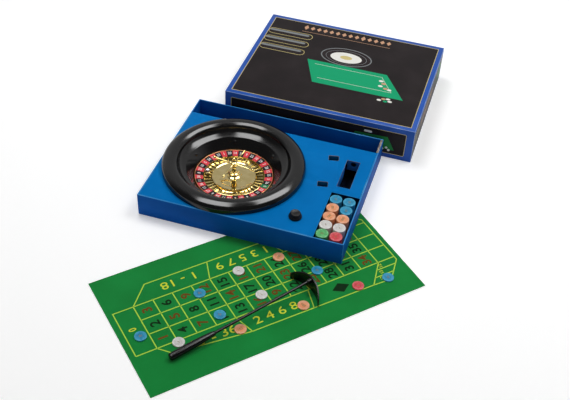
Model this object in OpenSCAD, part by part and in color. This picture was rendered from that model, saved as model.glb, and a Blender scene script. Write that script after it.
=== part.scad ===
// Boxed roulette set: case base with its insert, wheel, ball, marker and chips,
// the lid behind it, and the layout mat with rake and chips in front.
// Origin: middle of the whole set's outline, on the table. X runs to the right, Y to the back, Z up.

/* [Case] */
// Thickness of the grey board that the case and its lid are folded from
board = 2; // [1.5:0.1:2.6]
// Height of the case base, outside
case_h = 47; // [46:1:56]
// Clear width of the storage trough behind the insert
trough_w = 44; // [36:1:60]
// Strip of the deck to the right of the wheel, up to the outside of the case
side_strip_w = 112.7; // [108:0.1:130]
// From the left outside face of the case to the wheel's rim
wheel_side_margin = 2.5; // [2.5:0.1:8]
// From the front outside face of the case to the wheel's rim
wheel_front_margin = 0.5; // [0.5:0.1:6]

/* [Lid] */
// Gap between the case base and the lid slid over it, each side
lid_gap = 1; // [0.6:0.1:2]
// Free height over the wheel's finial with the lid on
lid_headroom = 7; // [3:0.5:20]
// Gap on the floor between the case base and the lid behind it
lid_distance = 8; // [4:1:40]
// How far the lid stands to the right of the case's middle
lid_shift = 55; // [30:1:110]

/* [Insert] */
// Thickness of the insert's coloured board
insert_board = 1.6; // [1.2:0.1:2]
// Gap between the insert and the walls of the case
insert_gap = 0.5; // [0.3:0.1:1]
// How far the wheel's rim reaches over the trough
rim_overhang = 3.3; // [0:0.1:4]
// Room around the bowl where it goes through the deck
bowl_hole_gap = 1.5; // [1:0.1:3]
// Width of the accessory well
well_w = 25; // [22:1:28]
// Length of the accessory well
well_l = 80; // [60:1:84]
// Depth of the flaps folded down into the accessory well
flap_h = 23; // [18:1:30]
// Length of the well's side flap along the deck
side_flap_l = 66.6; // [50:0.1:70]
// How much shorter the side flap is at its free edge
side_flap_slant = 9; // [4:0.5:15]
// Finger hole in the well's back flap
finger_hole_d = 11; // [8:0.5:13]
// Length of the two tab slots
slot_l = 19; // [12:1:22]
// Width of the two tab slots
slot_w = 14; // [8:1:16]
// Turn of the two tab slots
slot_turn = 12; // [0:1:20]
// Distance between the two tab slots
slot_spacing = 80; // [50:1:90]

/* [Wheel] */
// Outside diameter of the wheel's rim
wheel_d = 268.8; // [262:0.1:276]
// Wall of the moulded bowl
bowl_wall = 2.2; // [1.8:0.1:2.6]
// Height of the rim above the deck
rim_h = 18; // [16:0.1:20]
// Diameter of the opening that the rotor turns in
rotor_well_d = 151; // [150:0.5:156]
// Number of pockets
pockets = 37; // [20:1:38]
// Outside diameter of the rotor
rotor_d = 148; // [144:0.5:149]
// Inside diameter of the number ring
number_ring_id = 116; // [112:1:120]
// Turn of the rotor: direction of the zero pocket
zero_angle = -9.7; // [-180:0.1:180]
// Thickness of the number ring
number_ring_t = 0.8; // [0.5:0.1:1.2]
// Height of the frets between the pockets
fret_h = 3; // [2:0.1:3.6]
// Thickness of a fret
fret_t = 0.9; // [0.6:0.1:1.4]
// Diameter of the spindle
spindle_d = 5; // [4:0.1:6]
// Running clearance of the rotor's bush on the spindle, on the radius
spindle_fit = 0.05; // [0.03:0.01:0.1]
// Diameter of the ball
ball_d = 10; // [9:0.1:11]
// Pocket that holds the ball, counted from the zero pocket
ball_pocket = 20; // [0:1:36]

/* [Turret] */
// Height of the cross arms over the deck
arm_rise = 6; // [3:0.5:8]
// Reach of the cross arms from the axis
arm_reach = 42; // [30:0.5:42.5]
// Diameter of the cross arms
arm_d = 2.6; // [2:0.1:3.4]
// Diameter of the knobs at the ends of the arms
knob_d = 4.4; // [3.6:0.1:5]
// Direction of the first arm
arm_angle = -8.5; // [-45:0.5:45]

/* [Chips and marker] */
// Diameter of a chip
chip_d = 23; // [20:0.5:23.4]
// Thickness of a chip
chip_t = 2.75; // [2:0.05:2.8]
// Chips in a stack
stack_count = 16; // [4:1:16]
// Diameter of the chips that lie on the mat
mat_chip_d = 20.5; // [20:0.5:23]
// Thickness of the chips that lie on the mat
mat_chip_t = 2.4; // [2:0.05:2.8]
// Rows of stacks in the bay
stack_rows = 5; // [2:1:5]
// Distance between rows of stacks
row_pitch = 23.6; // [23.5:0.1:24.2]
// Distance between the two columns of stacks
column_pitch = 25; // [24.5:0.1:26]
// Diameter of the marker
marker_d = 24; // [18:0.5:26]
// Height of the marker
marker_h = 11; // [8:0.5:14]

/* [Mat] */
// Length of the mat
mat_l = 510; // [480:1:540]
// Width of the mat
mat_w = 264; // [250:1:280]
// Thickness of the mat's felt
mat_t = 1; // [0.8:0.1:1.5]
// Turn of the mat's long side from the front of the case
mat_turn = 46.5; // [40:0.5:52]
// From the right side of the case back to the middle of the mat
mat_inset = 121.5; // [110:0.5:130]
// From the front of the case forward to the middle of the mat
mat_forward = 94; // [90:0.5:110]

/* [Rake] */
// Length of the rake from the end of its grip to its blade
rake_l = 278; // [260:1:300]
// Diameter of the rake's shaft
rake_shaft_d = 5; // [4:0.1:6]
// Largest diameter of the rake's grip
grip_d = 13; // [11:0.5:15]
// Length of the rake's grip
grip_l = 84; // [60:1:110]
// Height of the shaft's middle where it meets the blade
rake_head_z = 22; // [18:0.5:23]
// Height of the rake's blade in its middle
blade_h = 29; // [28:0.5:34]
// Height of the rake's blade at its tips
blade_tip_h = 13; // [8:0.5:20]
// Thickness of the rake's blade
blade_t = 3; // [2:0.1:4]
// Radius of the rake's curved blade
blade_r = 62; // [56:1:70]
// Half of the angle that the blade spans
blade_half_angle = 41; // [32:1:42]

/* [Hidden] */

$fn = 96;
e = 0.01;                   // extra length of a cut past a face
face_gap = 0.3;             // room between curved faces of different pieces
glue_gap = 0.02;            // room around a pressed or glued round piece

case_blue = "#14478f";
deck_blue = "#1170b8";
black_plastic = "#1c1b1c";
gold = "#c9a752";
steel = "#b9bcc0";
felt_green = "#0a8a3c";
lid_blue = "#2f55a4";
chip_blue = "#2f9fc8";
chip_orange = "#f0a070";
chip_white = "#e6e4e0";
chip_green = "#5cb060";
chip_red = "#e0505c";

// Case: everything inside sets its outside size
wheel_r = wheel_d / 2;
case_w = wheel_side_margin + wheel_d + side_strip_w;
deck_d = wheel_front_margin + wheel_d - rim_overhang;      // front outside face to the trough
case_d = deck_d + trough_w + board;
left = -case_w / 2;
right = case_w / 2;
front = -case_d / 2;
back = case_d / 2;
wheel_x = left + wheel_side_margin + wheel_r;
wheel_y = front + wheel_front_margin + wheel_r;
deck = case_h;                                             // level of the deck's top
deck_back = front + deck_d;

// Bowl, from the rim inwards; heights are over the deck
rim_r = 17.4;                                              // from the rim's crown to its outer edge
rim_in = 12.5;                                             // from the crown to the inner wall
rim_mid = wheel_r - rim_r;
rim_foot = 5.5;                                            // straight foot of the rim
rim_step = 10;                                             // foot of the inner wall
track_r = wheel_r - 44.4;                                  // where the ball track meets the slope
track_z = -1;
track_tilt = 10;
lip_z = -18.6;
well_r = rotor_well_d / 2;
bowl_floor_z = -40.8;                                      // top of the bowl's floor
boss_r = 9;
boss_top_z = -32;
cove_r = 21;                                               // hollow of the track
track_w = 10;                                              // part of the track that hangs below the deck
lip_w = 1.2;                                               // rounded lip over the rotor's well
bowl_hole_r = track_r + track_w + bowl_wall + bowl_hole_gap;
slope_fall = (track_z - lip_z) / (track_r - well_r - lip_w);
stops = 6;                                                 // ball stops on the slope
stop_d = 7;
stop_h = 2.2;
stop_first_angle = 48;
stop_out = 8.5;                                            // from the well's edge to a stop
stop_seat_gap = 0.1;                                       // clears the curve of the slope under a stop

// Rotor: heights are over the deck
rotor_r = rotor_d / 2;
trim_w = 1.2;
ring_z = -20.7;                                            // number ring's top at its outside
ring_slope = 2.2;                                          // fall of the number ring to its inside
ring_in = number_ring_id / 2;
pocket_out = ring_in - 0.8;
pocket_in = 42;
pocket_floor = -28.5;
dish_z = -24;                                              // lip inside the pockets
hub_z = -22;                                               // disc at the turret's foot
disc_t = 1.6;
hub_r = 8;
hub_bottom_z = -31;
bush_r = 4.5;
washer_lip = 1.5;
washer_play = 0.1;                                         // free height over the thrust washer
washer_t = hub_bottom_z - boss_top_z - washer_play;
fret_end_gap = 0.4;
pocket_step = 360 / pockets;
ball_r = ball_d / 2;
ball_orbit = 51.4;
// The ball hangs between two frets: half the free width there sets how deep it sits
fret_half_gap = ball_orbit * sin(pocket_step / 2) - fret_t / 2;
ball_seat_gap = 0.12;
ball_z = deck + pocket_floor + fret_h + ball_seat_gap
       + sqrt(ball_r * ball_r - fret_half_gap * fret_half_gap);

// Turret: heights are over the deck
turret_foot_r = 13;
turret_foot_top = -14;
column_r = 4.2;
turret_bore_r = spindle_d / 2 + face_gap;
hub_half_h = 3.2;
turret_hub_r = 6.2;
finial_base_z = arm_rise + hub_half_h;
finial_ball_r = 2.8;
finial_h = 10.5;
finial_top = finial_base_z + finial_h;
spindle_top_z = arm_rise - 8;
arm_root = 3.2;                                            // where the arms start inside the hub
knob_seat = 0.8;                                           // how deep an arm goes into its knob

// Insert
insert_left = left + board + insert_gap;
insert_right = right - board - insert_gap;
insert_front = front + board + insert_gap;
bay_end_gap = 7;                                           // free length behind the last row
bay_side_gap = 1;
bay_w = bay_side_gap + chip_d / 2 + column_pitch + 16;     // from the case's right wall
bay_l = stack_rows * row_pitch + bay_end_gap;
bay_left = right - board - bay_w;
bay_back = front + board + bay_l;
well_x = right - board - 36.6;
well_y = bay_back + 19 + well_l / 2;
slot_x = bay_left - 21.6;
slot_y = bay_back + 55.8;
finger_hole_drop = 3 + finger_hole_d / 2;
layer_gap = 0.05;

// Where the stacks, the marker and the pieces on the mat stand
columns_x = [bay_left + bay_side_gap + chip_d / 2, bay_left + bay_side_gap + chip_d / 2 + column_pitch];
first_row_y = front + board + 3.2 + chip_d / 2;
marker_x = bay_left - 43.5;
marker_y = front + 40;

// Lid
lid_w = case_w + 2 * (lid_gap + board);
lid_d = case_d + 2 * (lid_gap + board);
lid_h = deck + finial_top + lid_headroom + board;
lid_y = back + lid_distance + lid_d / 2;

// Mat: its middle is set from the case's front right corner, which stands on it
mat_x = right - mat_inset;
mat_y = front - mat_forward;
mat_reach_x = (mat_l * cos(mat_turn) + mat_w * sin(mat_turn)) / 2;
mat_reach_y = (mat_l * sin(mat_turn) + mat_w * cos(mat_turn)) / 2;
rake_turn = 6.4;
rake_head = [76.2, -49];                                   // middle of the blade on the mat
rake_axis_z = grip_d / 2 + face_gap;                       // height of the grip's end
rake_slope = atan((rake_head_z - rake_axis_z) / (rake_l - blade_t));
rake_axis_l = (rake_l - blade_t) / cos(rake_slope);        // from the grip's end to the blade
grip_socket = 30;                                          // depth of the shaft in the grip
blade_boss_d = rake_shaft_d + 4;
blade_boss_l = 9;
blade_seat = 1;                                            // how deep the shaft goes into the blade
blade_reach = blade_r * sin(blade_half_angle) + 1;
blade_rise = blade_h - blade_tip_h;
blade_arch_r = (pow(blade_reach, 2) + pow(blade_rise, 2)) / (2 * blade_rise);
blade_arch_angle = asin(blade_reach / blade_arch_r);

// Outline of the whole set, whose middle is the origin
set_left = min(left, mat_x - mat_reach_x, lid_shift - lid_w / 2);
set_right = max(right, mat_x + mat_reach_x, lid_shift + lid_w / 2);
set_front = min(front, mat_y - mat_reach_y);
set_back = max(lid_y + lid_d / 2, mat_y + mat_reach_y);

CHIPS_ON_MAT = [
    [62, 41, chip_orange], [-16, 43, chip_white], [106, -18, chip_blue], [-98, 26, chip_blue],
    [-7, -24, chip_white], [150, -81, chip_red], [44, -77, chip_orange], [-89, -32, chip_blue],
    [-73, -75, chip_orange], [-222, -15, chip_blue], [-173, -54, chip_white], [207, -88, chip_blue]
];
STACK_COLOURS = [
    chip_green, chip_white, chip_orange, chip_orange, chip_blue,
    chip_red, chip_white, chip_orange, chip_blue, chip_blue
];

// Points of an arc about [cx, cz]
function arc(cx, cz, rx, rz, a0, a1, steps) =
    [for (i = [0:steps]) let (a = a0 + (a1 - a0) * i / steps) [cx + rx * cos(a), cz + rz * sin(a)]];

// Unit vector from one point to the next
function unit(p, q) = (q - p) / norm(q - p);

// Point of a path moved sideways by t, mitred between its two stretches
function mitre(path, i, t) =
    let (
        n = len(path),
        a = unit(path[max(i - 1, 0)], path[max(i, 1)]),
        b = unit(path[min(i, n - 2)], path[min(i + 1, n - 1)]),
        na = [-a[1], a[0]],
        nb = [-b[1], b[0]],
        m = (na + nb) / norm(na + nb)
    )
    path[i] + m * t / (m * na);

// Closed outline of a wall of thickness t along a path
function wall_of(path, t) =
    concat(path, [for (i = [len(path) - 1:-1:0]) mitre(path, i, t)]);

// Pieces are drawn about the middle of the case's underside, and moved to the origin together
module on_table() {
    translate([-(set_left + set_right) / 2, -(set_front + set_back) / 2, mat_t]) children();
}

module at_wheel() {
    translate([wheel_x, wheel_y, deck]) children();
}

module at_rotor() {
    at_wheel() rotate([0, 0, zero_angle]) children();
}

module on_mat() {
    translate([mat_x, mat_y, 0]) rotate([0, 0, mat_turn]) children();
}

// On the mat, from under the end of the grip towards the blade
module on_rake() {
    on_mat() translate([rake_head[0], rake_head[1], 0])
        rotate([0, 0, rake_turn]) translate([-rake_l, 0, 0]) children();
}

// Along the shaft, which rises from the grip's end to the blade
module along_rake() {
    on_rake() translate([0, 0, rake_axis_z]) rotate([0, 90 - rake_slope, 0]) children();
}

// Box with four walls and one flat side, open on the other
module board_box(w, d, h, t) {
    difference() {
        translate([-w / 2, -d / 2, 0]) cube([w, d, h]);
        translate([-w / 2 + t, -d / 2 + t, t]) cube([w - 2 * t, d - 2 * t, h]);
    }
}

module case_base() {
    color(case_blue) board_box(case_w, case_d, case_h, board);
}

module deck_outline() {
    difference() {
        translate([insert_left, insert_front])
            square([insert_right - insert_left, deck_back - insert_front]);
        translate([bay_left, front]) square([bay_w + board, bay_back - front]);
        translate([wheel_x, wheel_y]) circle(r = bowl_hole_r);
        translate([well_x - well_w / 2, well_y - well_l / 2]) square([well_w, well_l]);
        for (s = [0, 1])
            translate([slot_x, slot_y - s * slot_spacing + slot_spacing / 2])
                rotate([0, 0, slot_turn]) square([slot_l, slot_w], center = true);
    }
}

// Flap folded down from the deck, w wide along X, d deep along Y
module flap(x, y, w, d, drop) {
    translate([x, y, deck - drop]) cube([w, d, drop - insert_board + e]);
}

module insert() {
    full = deck - board;
    color(deck_blue) {
        translate([0, 0, deck - insert_board]) linear_extrude(insert_board) deck_outline();
        flap(insert_left, deck_back - insert_board, insert_right - insert_left, insert_board, full);
        flap(insert_left, insert_front, bay_left - insert_left, insert_board, full);
        flap(insert_left, insert_front, insert_board, deck_back - insert_front, full);
        flap(insert_right - insert_board, bay_back, insert_board, deck_back - bay_back, full);
        flap(bay_left - insert_board, insert_front, insert_board, bay_back - insert_front, full);
        flap(bay_left - insert_board, bay_back, insert_right - bay_left + insert_board, insert_board, full);
        well_side_flap();
    }
}

// Back flap of the well, folded down from the deck
module well_flap() {
    well_back = well_y + well_l / 2;
    color(deck_blue) difference() {
        translate([well_x - well_w / 2, well_back, deck - flap_h])
            cube([well_w, insert_board, flap_h - insert_board]);
        translate([well_x, well_back - e, deck - finger_hole_drop]) rotate([-90, 0, 0])
            cylinder(d = finger_hole_d, h = insert_board + 2 * e);
    }
}

// Left flap of the well, cut at a slant towards the back
module well_side_flap() {
    low = deck - flap_h;
    high = deck - insert_board + e;
    y0 = well_y - well_l / 2;
    y1 = y0 + side_flap_l;
    translate([well_x - well_w / 2, 0, 0]) rotate([90, 0, -90])
        linear_extrude(insert_board)
            polygon([[-y0, low], [-y1 + side_flap_slant, low], [-y1, high], [-y0, high]]);
}

function bowl_path() = concat(
    [[wheel_r, 0], [wheel_r, rim_foot]],
    arc(rim_mid, rim_foot, rim_r, rim_h - rim_foot, 15, 90, 6),
    arc(rim_mid, rim_step, rim_in, rim_h - rim_step, 105, 180, 6),
    arc(track_r - cove_r * sin(track_tilt), track_z + cove_r * cos(track_tilt), cove_r, cove_r, -30,
        track_tilt - 90, 6),
    [[well_r + lip_w, lip_z], [well_r + 0.6, lip_z - 0.8], [well_r, lip_z - 2.6],
     [well_r, bowl_floor_z + 2], [well_r - 2, bowl_floor_z],
     [boss_r + 1, bowl_floor_z], [boss_r, boss_top_z], [spindle_d / 2 + glue_gap, boss_top_z]]
);

module wheel_bowl() {
    color(black_plastic) at_wheel() rotate_extrude() polygon(wall_of(bowl_path(), bowl_wall));
}

// Small moulded bumps that break the ball's run, set on the slope
module ball_stops() {
    stop_r = well_r + stop_out;
    stop_z = lip_z + (stop_out - lip_w) * slope_fall;
    color(black_plastic) at_wheel()
        for (i = [0:stops - 1]) rotate([0, 0, stop_first_angle + i * 360 / stops])
            translate([stop_r, 0, stop_z]) rotate([0, -atan(slope_fall), 0])
                translate([0, 0, stop_seat_gap]) cylinder(d1 = stop_d, d2 = 2, h = stop_h, $fn = 32);
}

module spindle() {
    color(steel) at_wheel() {
        translate([0, 0, boss_top_z - bowl_wall])
            cylinder(d = spindle_d, h = spindle_top_z - boss_top_z + bowl_wall);
        translate([0, 0, boss_top_z - bowl_wall - 1.4]) cylinder(r = boss_r - bowl_wall - 1.6, h = 1.4);
    }
}

module thrust_washer() {
    color("white") at_wheel() translate([0, 0, boss_top_z]) difference() {
        cylinder(r = bush_r + washer_lip, h = washer_t);
        translate([0, 0, -e]) cylinder(r = spindle_d / 2 + spindle_fit, h = washer_t + 2 * e);
    }
}

module rotor_bush() {
    color("white") at_rotor() translate([0, 0, hub_bottom_z]) difference() {
        cylinder(r = bush_r, h = hub_z - hub_bottom_z);
        translate([0, 0, -e])
            cylinder(r = spindle_d / 2 + spindle_fit, h = hub_z - hub_bottom_z + 2 * e);
    }
}

module rotor_disc() {
    under = number_ring_t;
    color(gold) at_rotor() rotate_extrude() polygon([
        [rotor_r - trim_w, ring_z - under],
        [ring_in, ring_z - ring_slope - under],
        [ring_in, ring_z - ring_slope],
        [pocket_out, ring_z - ring_slope - 0.3],
        [pocket_out, pocket_floor],
        [pocket_in, pocket_floor],
        [pocket_in - 0.6, dish_z + 0.4],
        [pocket_in - 1.6, dish_z + 0.8],
        [pocket_in - 2.8, dish_z],
        [turret_foot_r + 2, hub_z],
        [bush_r + glue_gap, hub_z],
        [bush_r + glue_gap, hub_bottom_z],
        [hub_r, hub_bottom_z],
        [hub_r, hub_z - disc_t],
        [pocket_in - 3.6, dish_z - disc_t],
        [pocket_in - 2, pocket_floor - disc_t],
        [pocket_out + disc_t, pocket_floor - disc_t],
        [pocket_out + disc_t, ring_z - ring_slope - under - disc_t],
        [rotor_r - trim_w, ring_z - under - disc_t]
    ]);
}

module pocket_frets() {
    color(gold) at_rotor() for (i = [0:pockets - 1])
        rotate([0, 0, (i + 0.5) * pocket_step])
            translate([pocket_in + fret_end_gap, -fret_t / 2, pocket_floor])
                cube([pocket_out - pocket_in - 2 * fret_end_gap, fret_t, fret_h]);
}

module number_ring() {
    color("#a8323c") at_rotor() rotate_extrude() polygon([
        [rotor_r - trim_w, ring_z], [ring_in, ring_z - ring_slope],
        [ring_in, ring_z - ring_slope - number_ring_t], [rotor_r - trim_w, ring_z - number_ring_t]
    ]);
}

module ring_trim() {
    color("#d08a50") at_rotor() rotate_extrude() polygon([
        [rotor_r - trim_w, ring_z - number_ring_t - disc_t], [rotor_r, ring_z - number_ring_t - disc_t],
        [rotor_r, ring_z + 0.3], [rotor_r - 0.3, ring_z + 0.6], [rotor_r - trim_w + 0.3, ring_z + 0.6],
        [rotor_r - trim_w, ring_z + 0.3]
    ]);
}

// Turned gold foot: a flare with a collar on top
module turret_base() {
    color(gold) at_rotor() rotate_extrude() polygon(concat(
        [[turret_bore_r, hub_z], [turret_foot_r, hub_z], [turret_foot_r, hub_z + 0.9]],
        arc(turret_foot_r, turret_foot_top - 1.2,
            turret_foot_r - 5.2, turret_foot_top - 2.4 - hub_z, -100, -178, 6),
        [[6.2, turret_foot_top - 1], [6.2, turret_foot_top], [turret_bore_r, turret_foot_top]]
    ));
}

module turret_column() {
    top = arm_rise - hub_half_h;
    color(gold) at_rotor() rotate_extrude() polygon([
        [turret_bore_r, turret_foot_top], [column_r + 0.6, turret_foot_top],
        [column_r, turret_foot_top + 2], [column_r - 0.5, top - 5], [column_r + 1, top - 2],
        [column_r + 1, top], [0, top], [0, spindle_top_z], [turret_bore_r, spindle_top_z]
    ]);
}

module turret_hub() {
    color(gold) at_rotor() translate([0, 0, arm_rise - hub_half_h]) difference() {
        rotate_extrude() polygon([
            [0, 0], [turret_hub_r - 1, 0], [turret_hub_r, 1], [turret_hub_r, 2 * hub_half_h - 1.4],
            [turret_hub_r - 1.4, 2 * hub_half_h], [0, 2 * hub_half_h]
        ]);
        for (i = [0:3]) rotate([0, 0, arm_angle + 90 * i]) translate([arm_root, 0, hub_half_h])
            rotate([0, 90, 0]) cylinder(d = arm_d + 2 * glue_gap, h = turret_hub_r);
    }
}

// Four rods pressed into the hub
module turret_arms() {
    color(gold) at_rotor() for (i = [0:3])
        rotate([0, 0, arm_angle + 90 * i]) translate([arm_root, 0, arm_rise]) rotate([0, 90, 0])
            cylinder(d = arm_d, h = arm_reach - arm_root - knob_d / 2 + knob_seat);
}

module turret_knobs() {
    color(gold) at_rotor() for (i = [0:3])
        rotate([0, 0, arm_angle + 90 * i]) difference() {
            translate([arm_reach, 0, arm_rise]) sphere(d = knob_d, $fn = 48);
            translate([0, 0, arm_rise]) rotate([0, 90, 0])
                cylinder(d = arm_d + 2 * glue_gap, h = arm_reach - knob_d / 2 + knob_seat + glue_gap);
        }
}

module turret_finial() {
    neck = finial_h - 2 * finial_ball_r;
    color(gold) at_rotor() translate([0, 0, finial_base_z]) rotate_extrude() polygon(concat(
        [[0, 0], [4.6, 0], [4.4, 0.8], [1.9, neck]],
        arc(0, finial_h - finial_ball_r, finial_ball_r, finial_ball_r, -50, 90, 12)
    ));
}

module ball() {
    color(steel) at_rotor() rotate([0, 0, ball_pocket * pocket_step])
        translate([ball_orbit, 0, ball_z - deck]) sphere(r = ball_r);
}

module marker() {
    r = marker_d / 2;
    color(black_plastic) translate([marker_x, marker_y, deck]) rotate_extrude() polygon([
        [0, 0], [r - 0.8, 0], [r, 0.8], [r, marker_h * 0.3], [r - 1, marker_h * 0.4],
        [r * 0.76, marker_h * 0.9], [r * 0.7, marker_h], [0, marker_h]
    ]);
}

// One moulded chip: rounded edge, rim ring and sunk middle
module chip(d, t) {
    r = d / 2;
    rotate_extrude($fn = 64) polygon([
        [0, 0.25], [r - 2.6, 0.25], [r - 2.9, 0], [r - 0.5, 0], [r, 0.5],
        [r, t - 0.5], [r - 0.5, t], [r - 2.9, t], [r - 2.6, t - 0.25], [0, t - 0.25]
    ]);
}

// Stacks run from the front to the back, first the left column and then the right
module stack(i) {
    color(STACK_COLOURS[i])
        translate([columns_x[floor(i / 5)], first_row_y + (i % 5) * row_pitch, board])
            for (k = [0:stack_count - 1])
                translate([0, 0, k * (chip_t + layer_gap)]) chip(chip_d, chip_t);
}

module lid() {
    color(lid_blue) translate([lid_shift, lid_y, lid_h - mat_t]) mirror([0, 0, 1])
        board_box(lid_w, lid_d, lid_h, board);
}

module mat() {
    color(felt_green) on_mat() translate([-mat_l / 2, -mat_w / 2, -mat_t]) cube([mat_l, mat_w, mat_t]);
}

module rake_grip() {
    r = grip_d / 2;
    shaft_r = rake_shaft_d / 2 + glue_gap;
    color(black_plastic) along_rake() rotate_extrude() polygon([
        [0, 0], [r - 1.6, 0], [r - 0.5, 0.6], [r, 1.8], [r - 0.2, grip_l * 0.5],
        [rake_shaft_d / 2 + 1.6, grip_l - 4], [rake_shaft_d / 2 + 1, grip_l],
        [shaft_r, grip_l], [shaft_r, grip_l - grip_socket], [0, grip_l - grip_socket]
    ]);
}

module rake_shaft() {
    start = grip_l - grip_socket;
    color(black_plastic) along_rake() translate([0, 0, start])
        cylinder(d = rake_shaft_d, h = rake_axis_l - start + blade_seat);
}

// Curved plate that stands on the mat with its tips towards the grip, highest in its middle
module blade_plate() {
    translate([rake_l - blade_r, 0, 0]) intersection() {
        rotate([0, 0, -blade_half_angle]) rotate_extrude(angle = 2 * blade_half_angle)
            translate([blade_r - blade_t, 0]) square([blade_t, blade_h]);
        rotate([90, 0, 90]) linear_extrude(blade_r + 1) polygon(concat(
            arc(0, blade_h - blade_arch_r, blade_arch_r, blade_arch_r,
                90 - blade_arch_angle, 90 + blade_arch_angle, 12),
            [[-blade_reach, -1], [blade_reach, -1]]
        ));
    }
}

module rake_blade() {
    boss_start = rake_axis_l + blade_seat - blade_boss_l;
    color(black_plastic) difference() {
        union() {
            on_rake() blade_plate();
            along_rake() translate([0, 0, boss_start]) cylinder(d = blade_boss_d, h = blade_boss_l);
        }
        along_rake() translate([0, 0, boss_start - e])
            cylinder(d = rake_shaft_d + 2 * glue_gap, h = blade_boss_l + e + glue_gap);
    }
}

module chip_on_mat(i) {
    color(CHIPS_ON_MAT[i][2]) on_mat() translate([CHIPS_ON_MAT[i][0], CHIPS_ON_MAT[i][1], 0])
        chip(mat_chip_d, mat_chip_t);
}

on_table() case_base();
on_table() insert();
on_table() well_flap();
on_table() wheel_bowl();
on_table() ball_stops();
on_table() spindle();
on_table() thrust_washer();
on_table() rotor_bush();
on_table() rotor_disc();
on_table() pocket_frets();
on_table() number_ring();
on_table() ring_trim();
on_table() turret_base();
on_table() turret_column();
on_table() turret_hub();
on_table() turret_arms();
on_table() turret_knobs();
on_table() turret_finial();
on_table() ball();
on_table() marker();
on_table() stack(0);  // stack_1
on_table() stack(1);  // stack_2
on_table() stack(2);  // stack_3
on_table() stack(3);  // stack_4
on_table() stack(4);  // stack_5
on_table() stack(5);  // stack_6
on_table() stack(6);  // stack_7
on_table() stack(7);  // stack_8
on_table() stack(8);  // stack_9
on_table() stack(9);  // stack_10
on_table() lid();
on_table() mat();
on_table() rake_grip();
on_table() rake_shaft();
on_table() rake_blade();
on_table() chip_on_mat(0);  // chip_1
on_table() chip_on_mat(1);  // chip_2
on_table() chip_on_mat(2);  // chip_3
on_table() chip_on_mat(3);  // chip_4
on_table() chip_on_mat(4);  // chip_5
on_table() chip_on_mat(5);  // chip_6
on_table() chip_on_mat(6);  // chip_7
on_table() chip_on_mat(7);  // chip_8
on_table() chip_on_mat(8);  // chip_9
on_table() chip_on_mat(9);  // chip_10
on_table() chip_on_mat(10);  // chip_11
on_table() chip_on_mat(11);  // chip_12
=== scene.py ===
import bpy
import bmesh
import math
import random
from mathutils import Matrix, Vector


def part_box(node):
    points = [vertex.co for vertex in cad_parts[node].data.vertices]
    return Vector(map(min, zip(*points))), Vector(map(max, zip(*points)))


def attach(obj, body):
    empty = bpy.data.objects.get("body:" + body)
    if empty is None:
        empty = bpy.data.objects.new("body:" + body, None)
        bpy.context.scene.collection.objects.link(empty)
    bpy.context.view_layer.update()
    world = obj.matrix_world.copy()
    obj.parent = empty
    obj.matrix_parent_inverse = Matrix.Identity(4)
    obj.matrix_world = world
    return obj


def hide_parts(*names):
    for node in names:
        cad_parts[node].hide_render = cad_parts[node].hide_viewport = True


# Boxed roulette set: tray with wheel and chips, lid behind it, felt layout with rake and chips in front.
# Pieces are built in millimetres about a place of their own and set down in the row frame, in metres.

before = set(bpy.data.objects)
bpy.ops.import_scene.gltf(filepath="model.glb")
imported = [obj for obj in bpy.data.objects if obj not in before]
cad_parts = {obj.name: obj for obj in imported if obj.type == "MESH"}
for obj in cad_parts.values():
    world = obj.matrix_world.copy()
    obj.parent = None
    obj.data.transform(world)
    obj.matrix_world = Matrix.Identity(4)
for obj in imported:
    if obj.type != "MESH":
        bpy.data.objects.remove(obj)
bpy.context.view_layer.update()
scene = bpy.context.scene


def middle(node):
    low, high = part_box(node)
    return (low + high) / 2, low, high


def placeAt(x, y, z, turn=0.0):
    return Matrix.Translation((x, y, z)) @ Matrix.Rotation(math.radians(turn), 4, "Z") @ Matrix.Scale(0.001, 4)


casePlan = {"width": 384, "depth": 312, "height": 47, "board": 2, "deckBack": 110}
caseMid, caseLow, caseHigh = middle("case_base")
caseFrame = placeAt(caseMid.x, caseMid.y, caseLow.z)
wheelMid = middle("ring_trim")[0]
wheelFrame = placeAt(wheelMid.x, wheelMid.y, caseHigh.z)          # level of the deck, on the wheel's axis
matMid, matLow, matHigh = middle("mat")
matTurn = 46.5
matFrame = placeAt(matMid.x, matMid.y, matHigh.z, matTurn)        # on top of the felt, u along its long side
lidMid, lidLow, lidHigh = middle("lid")
lidFrame = placeAt(lidMid.x, lidMid.y, lidLow.z)


cameraPlan = {
    "fromCase": (0.38403, -1.27348, 1.14979), "right": (0.95422, 0.29604, 0.0427),
    "down": (0.233, -0.64621, -0.72672), "forward": (-0.18755, 0.7034, -0.6856),
    "lens": 58.1, "shiftY": 0.044,
}
cameraData = bpy.data.cameras.new("camera")
cameraData.sensor_width = 36
cameraData.lens = cameraPlan["lens"]
cameraData.shift_y = cameraPlan["shiftY"]
camera = bpy.data.objects.new("camera", cameraData)
scene.collection.objects.link(camera)
columns = (Vector(cameraPlan["right"]), -Vector(cameraPlan["down"]), -Vector(cameraPlan["forward"]))
turned = Matrix([[c[i] for c in columns] for i in range(3)]).to_4x4()
camera.matrix_world = Matrix.Translation(Vector(cameraPlan["fromCase"])
                                         + Vector((caseMid.x, caseMid.y, caseLow.z))) @ turned
scene.camera = camera
scene.view_settings.view_transform = "Standard"


def colour(code):
    parts = [int(code[i:i + 2], 16) / 255 for i in (1, 3, 5)]
    return tuple(p / 12.92 if p <= 0.04045 else ((p + 0.055) / 1.055) ** 2.4 for p in parts) + (1.0,)


def addNode(tree, kind, values=None, links=None, **settings):
    made = tree.nodes.new(kind)
    for key, value in settings.items():
        setattr(made, key, value)
    for key, value in (values or {}).items():
        made.inputs[key].default_value = value
    for key, socket in (links or {}).items():
        tree.links.new(socket, made.inputs[key])
    return made


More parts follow.
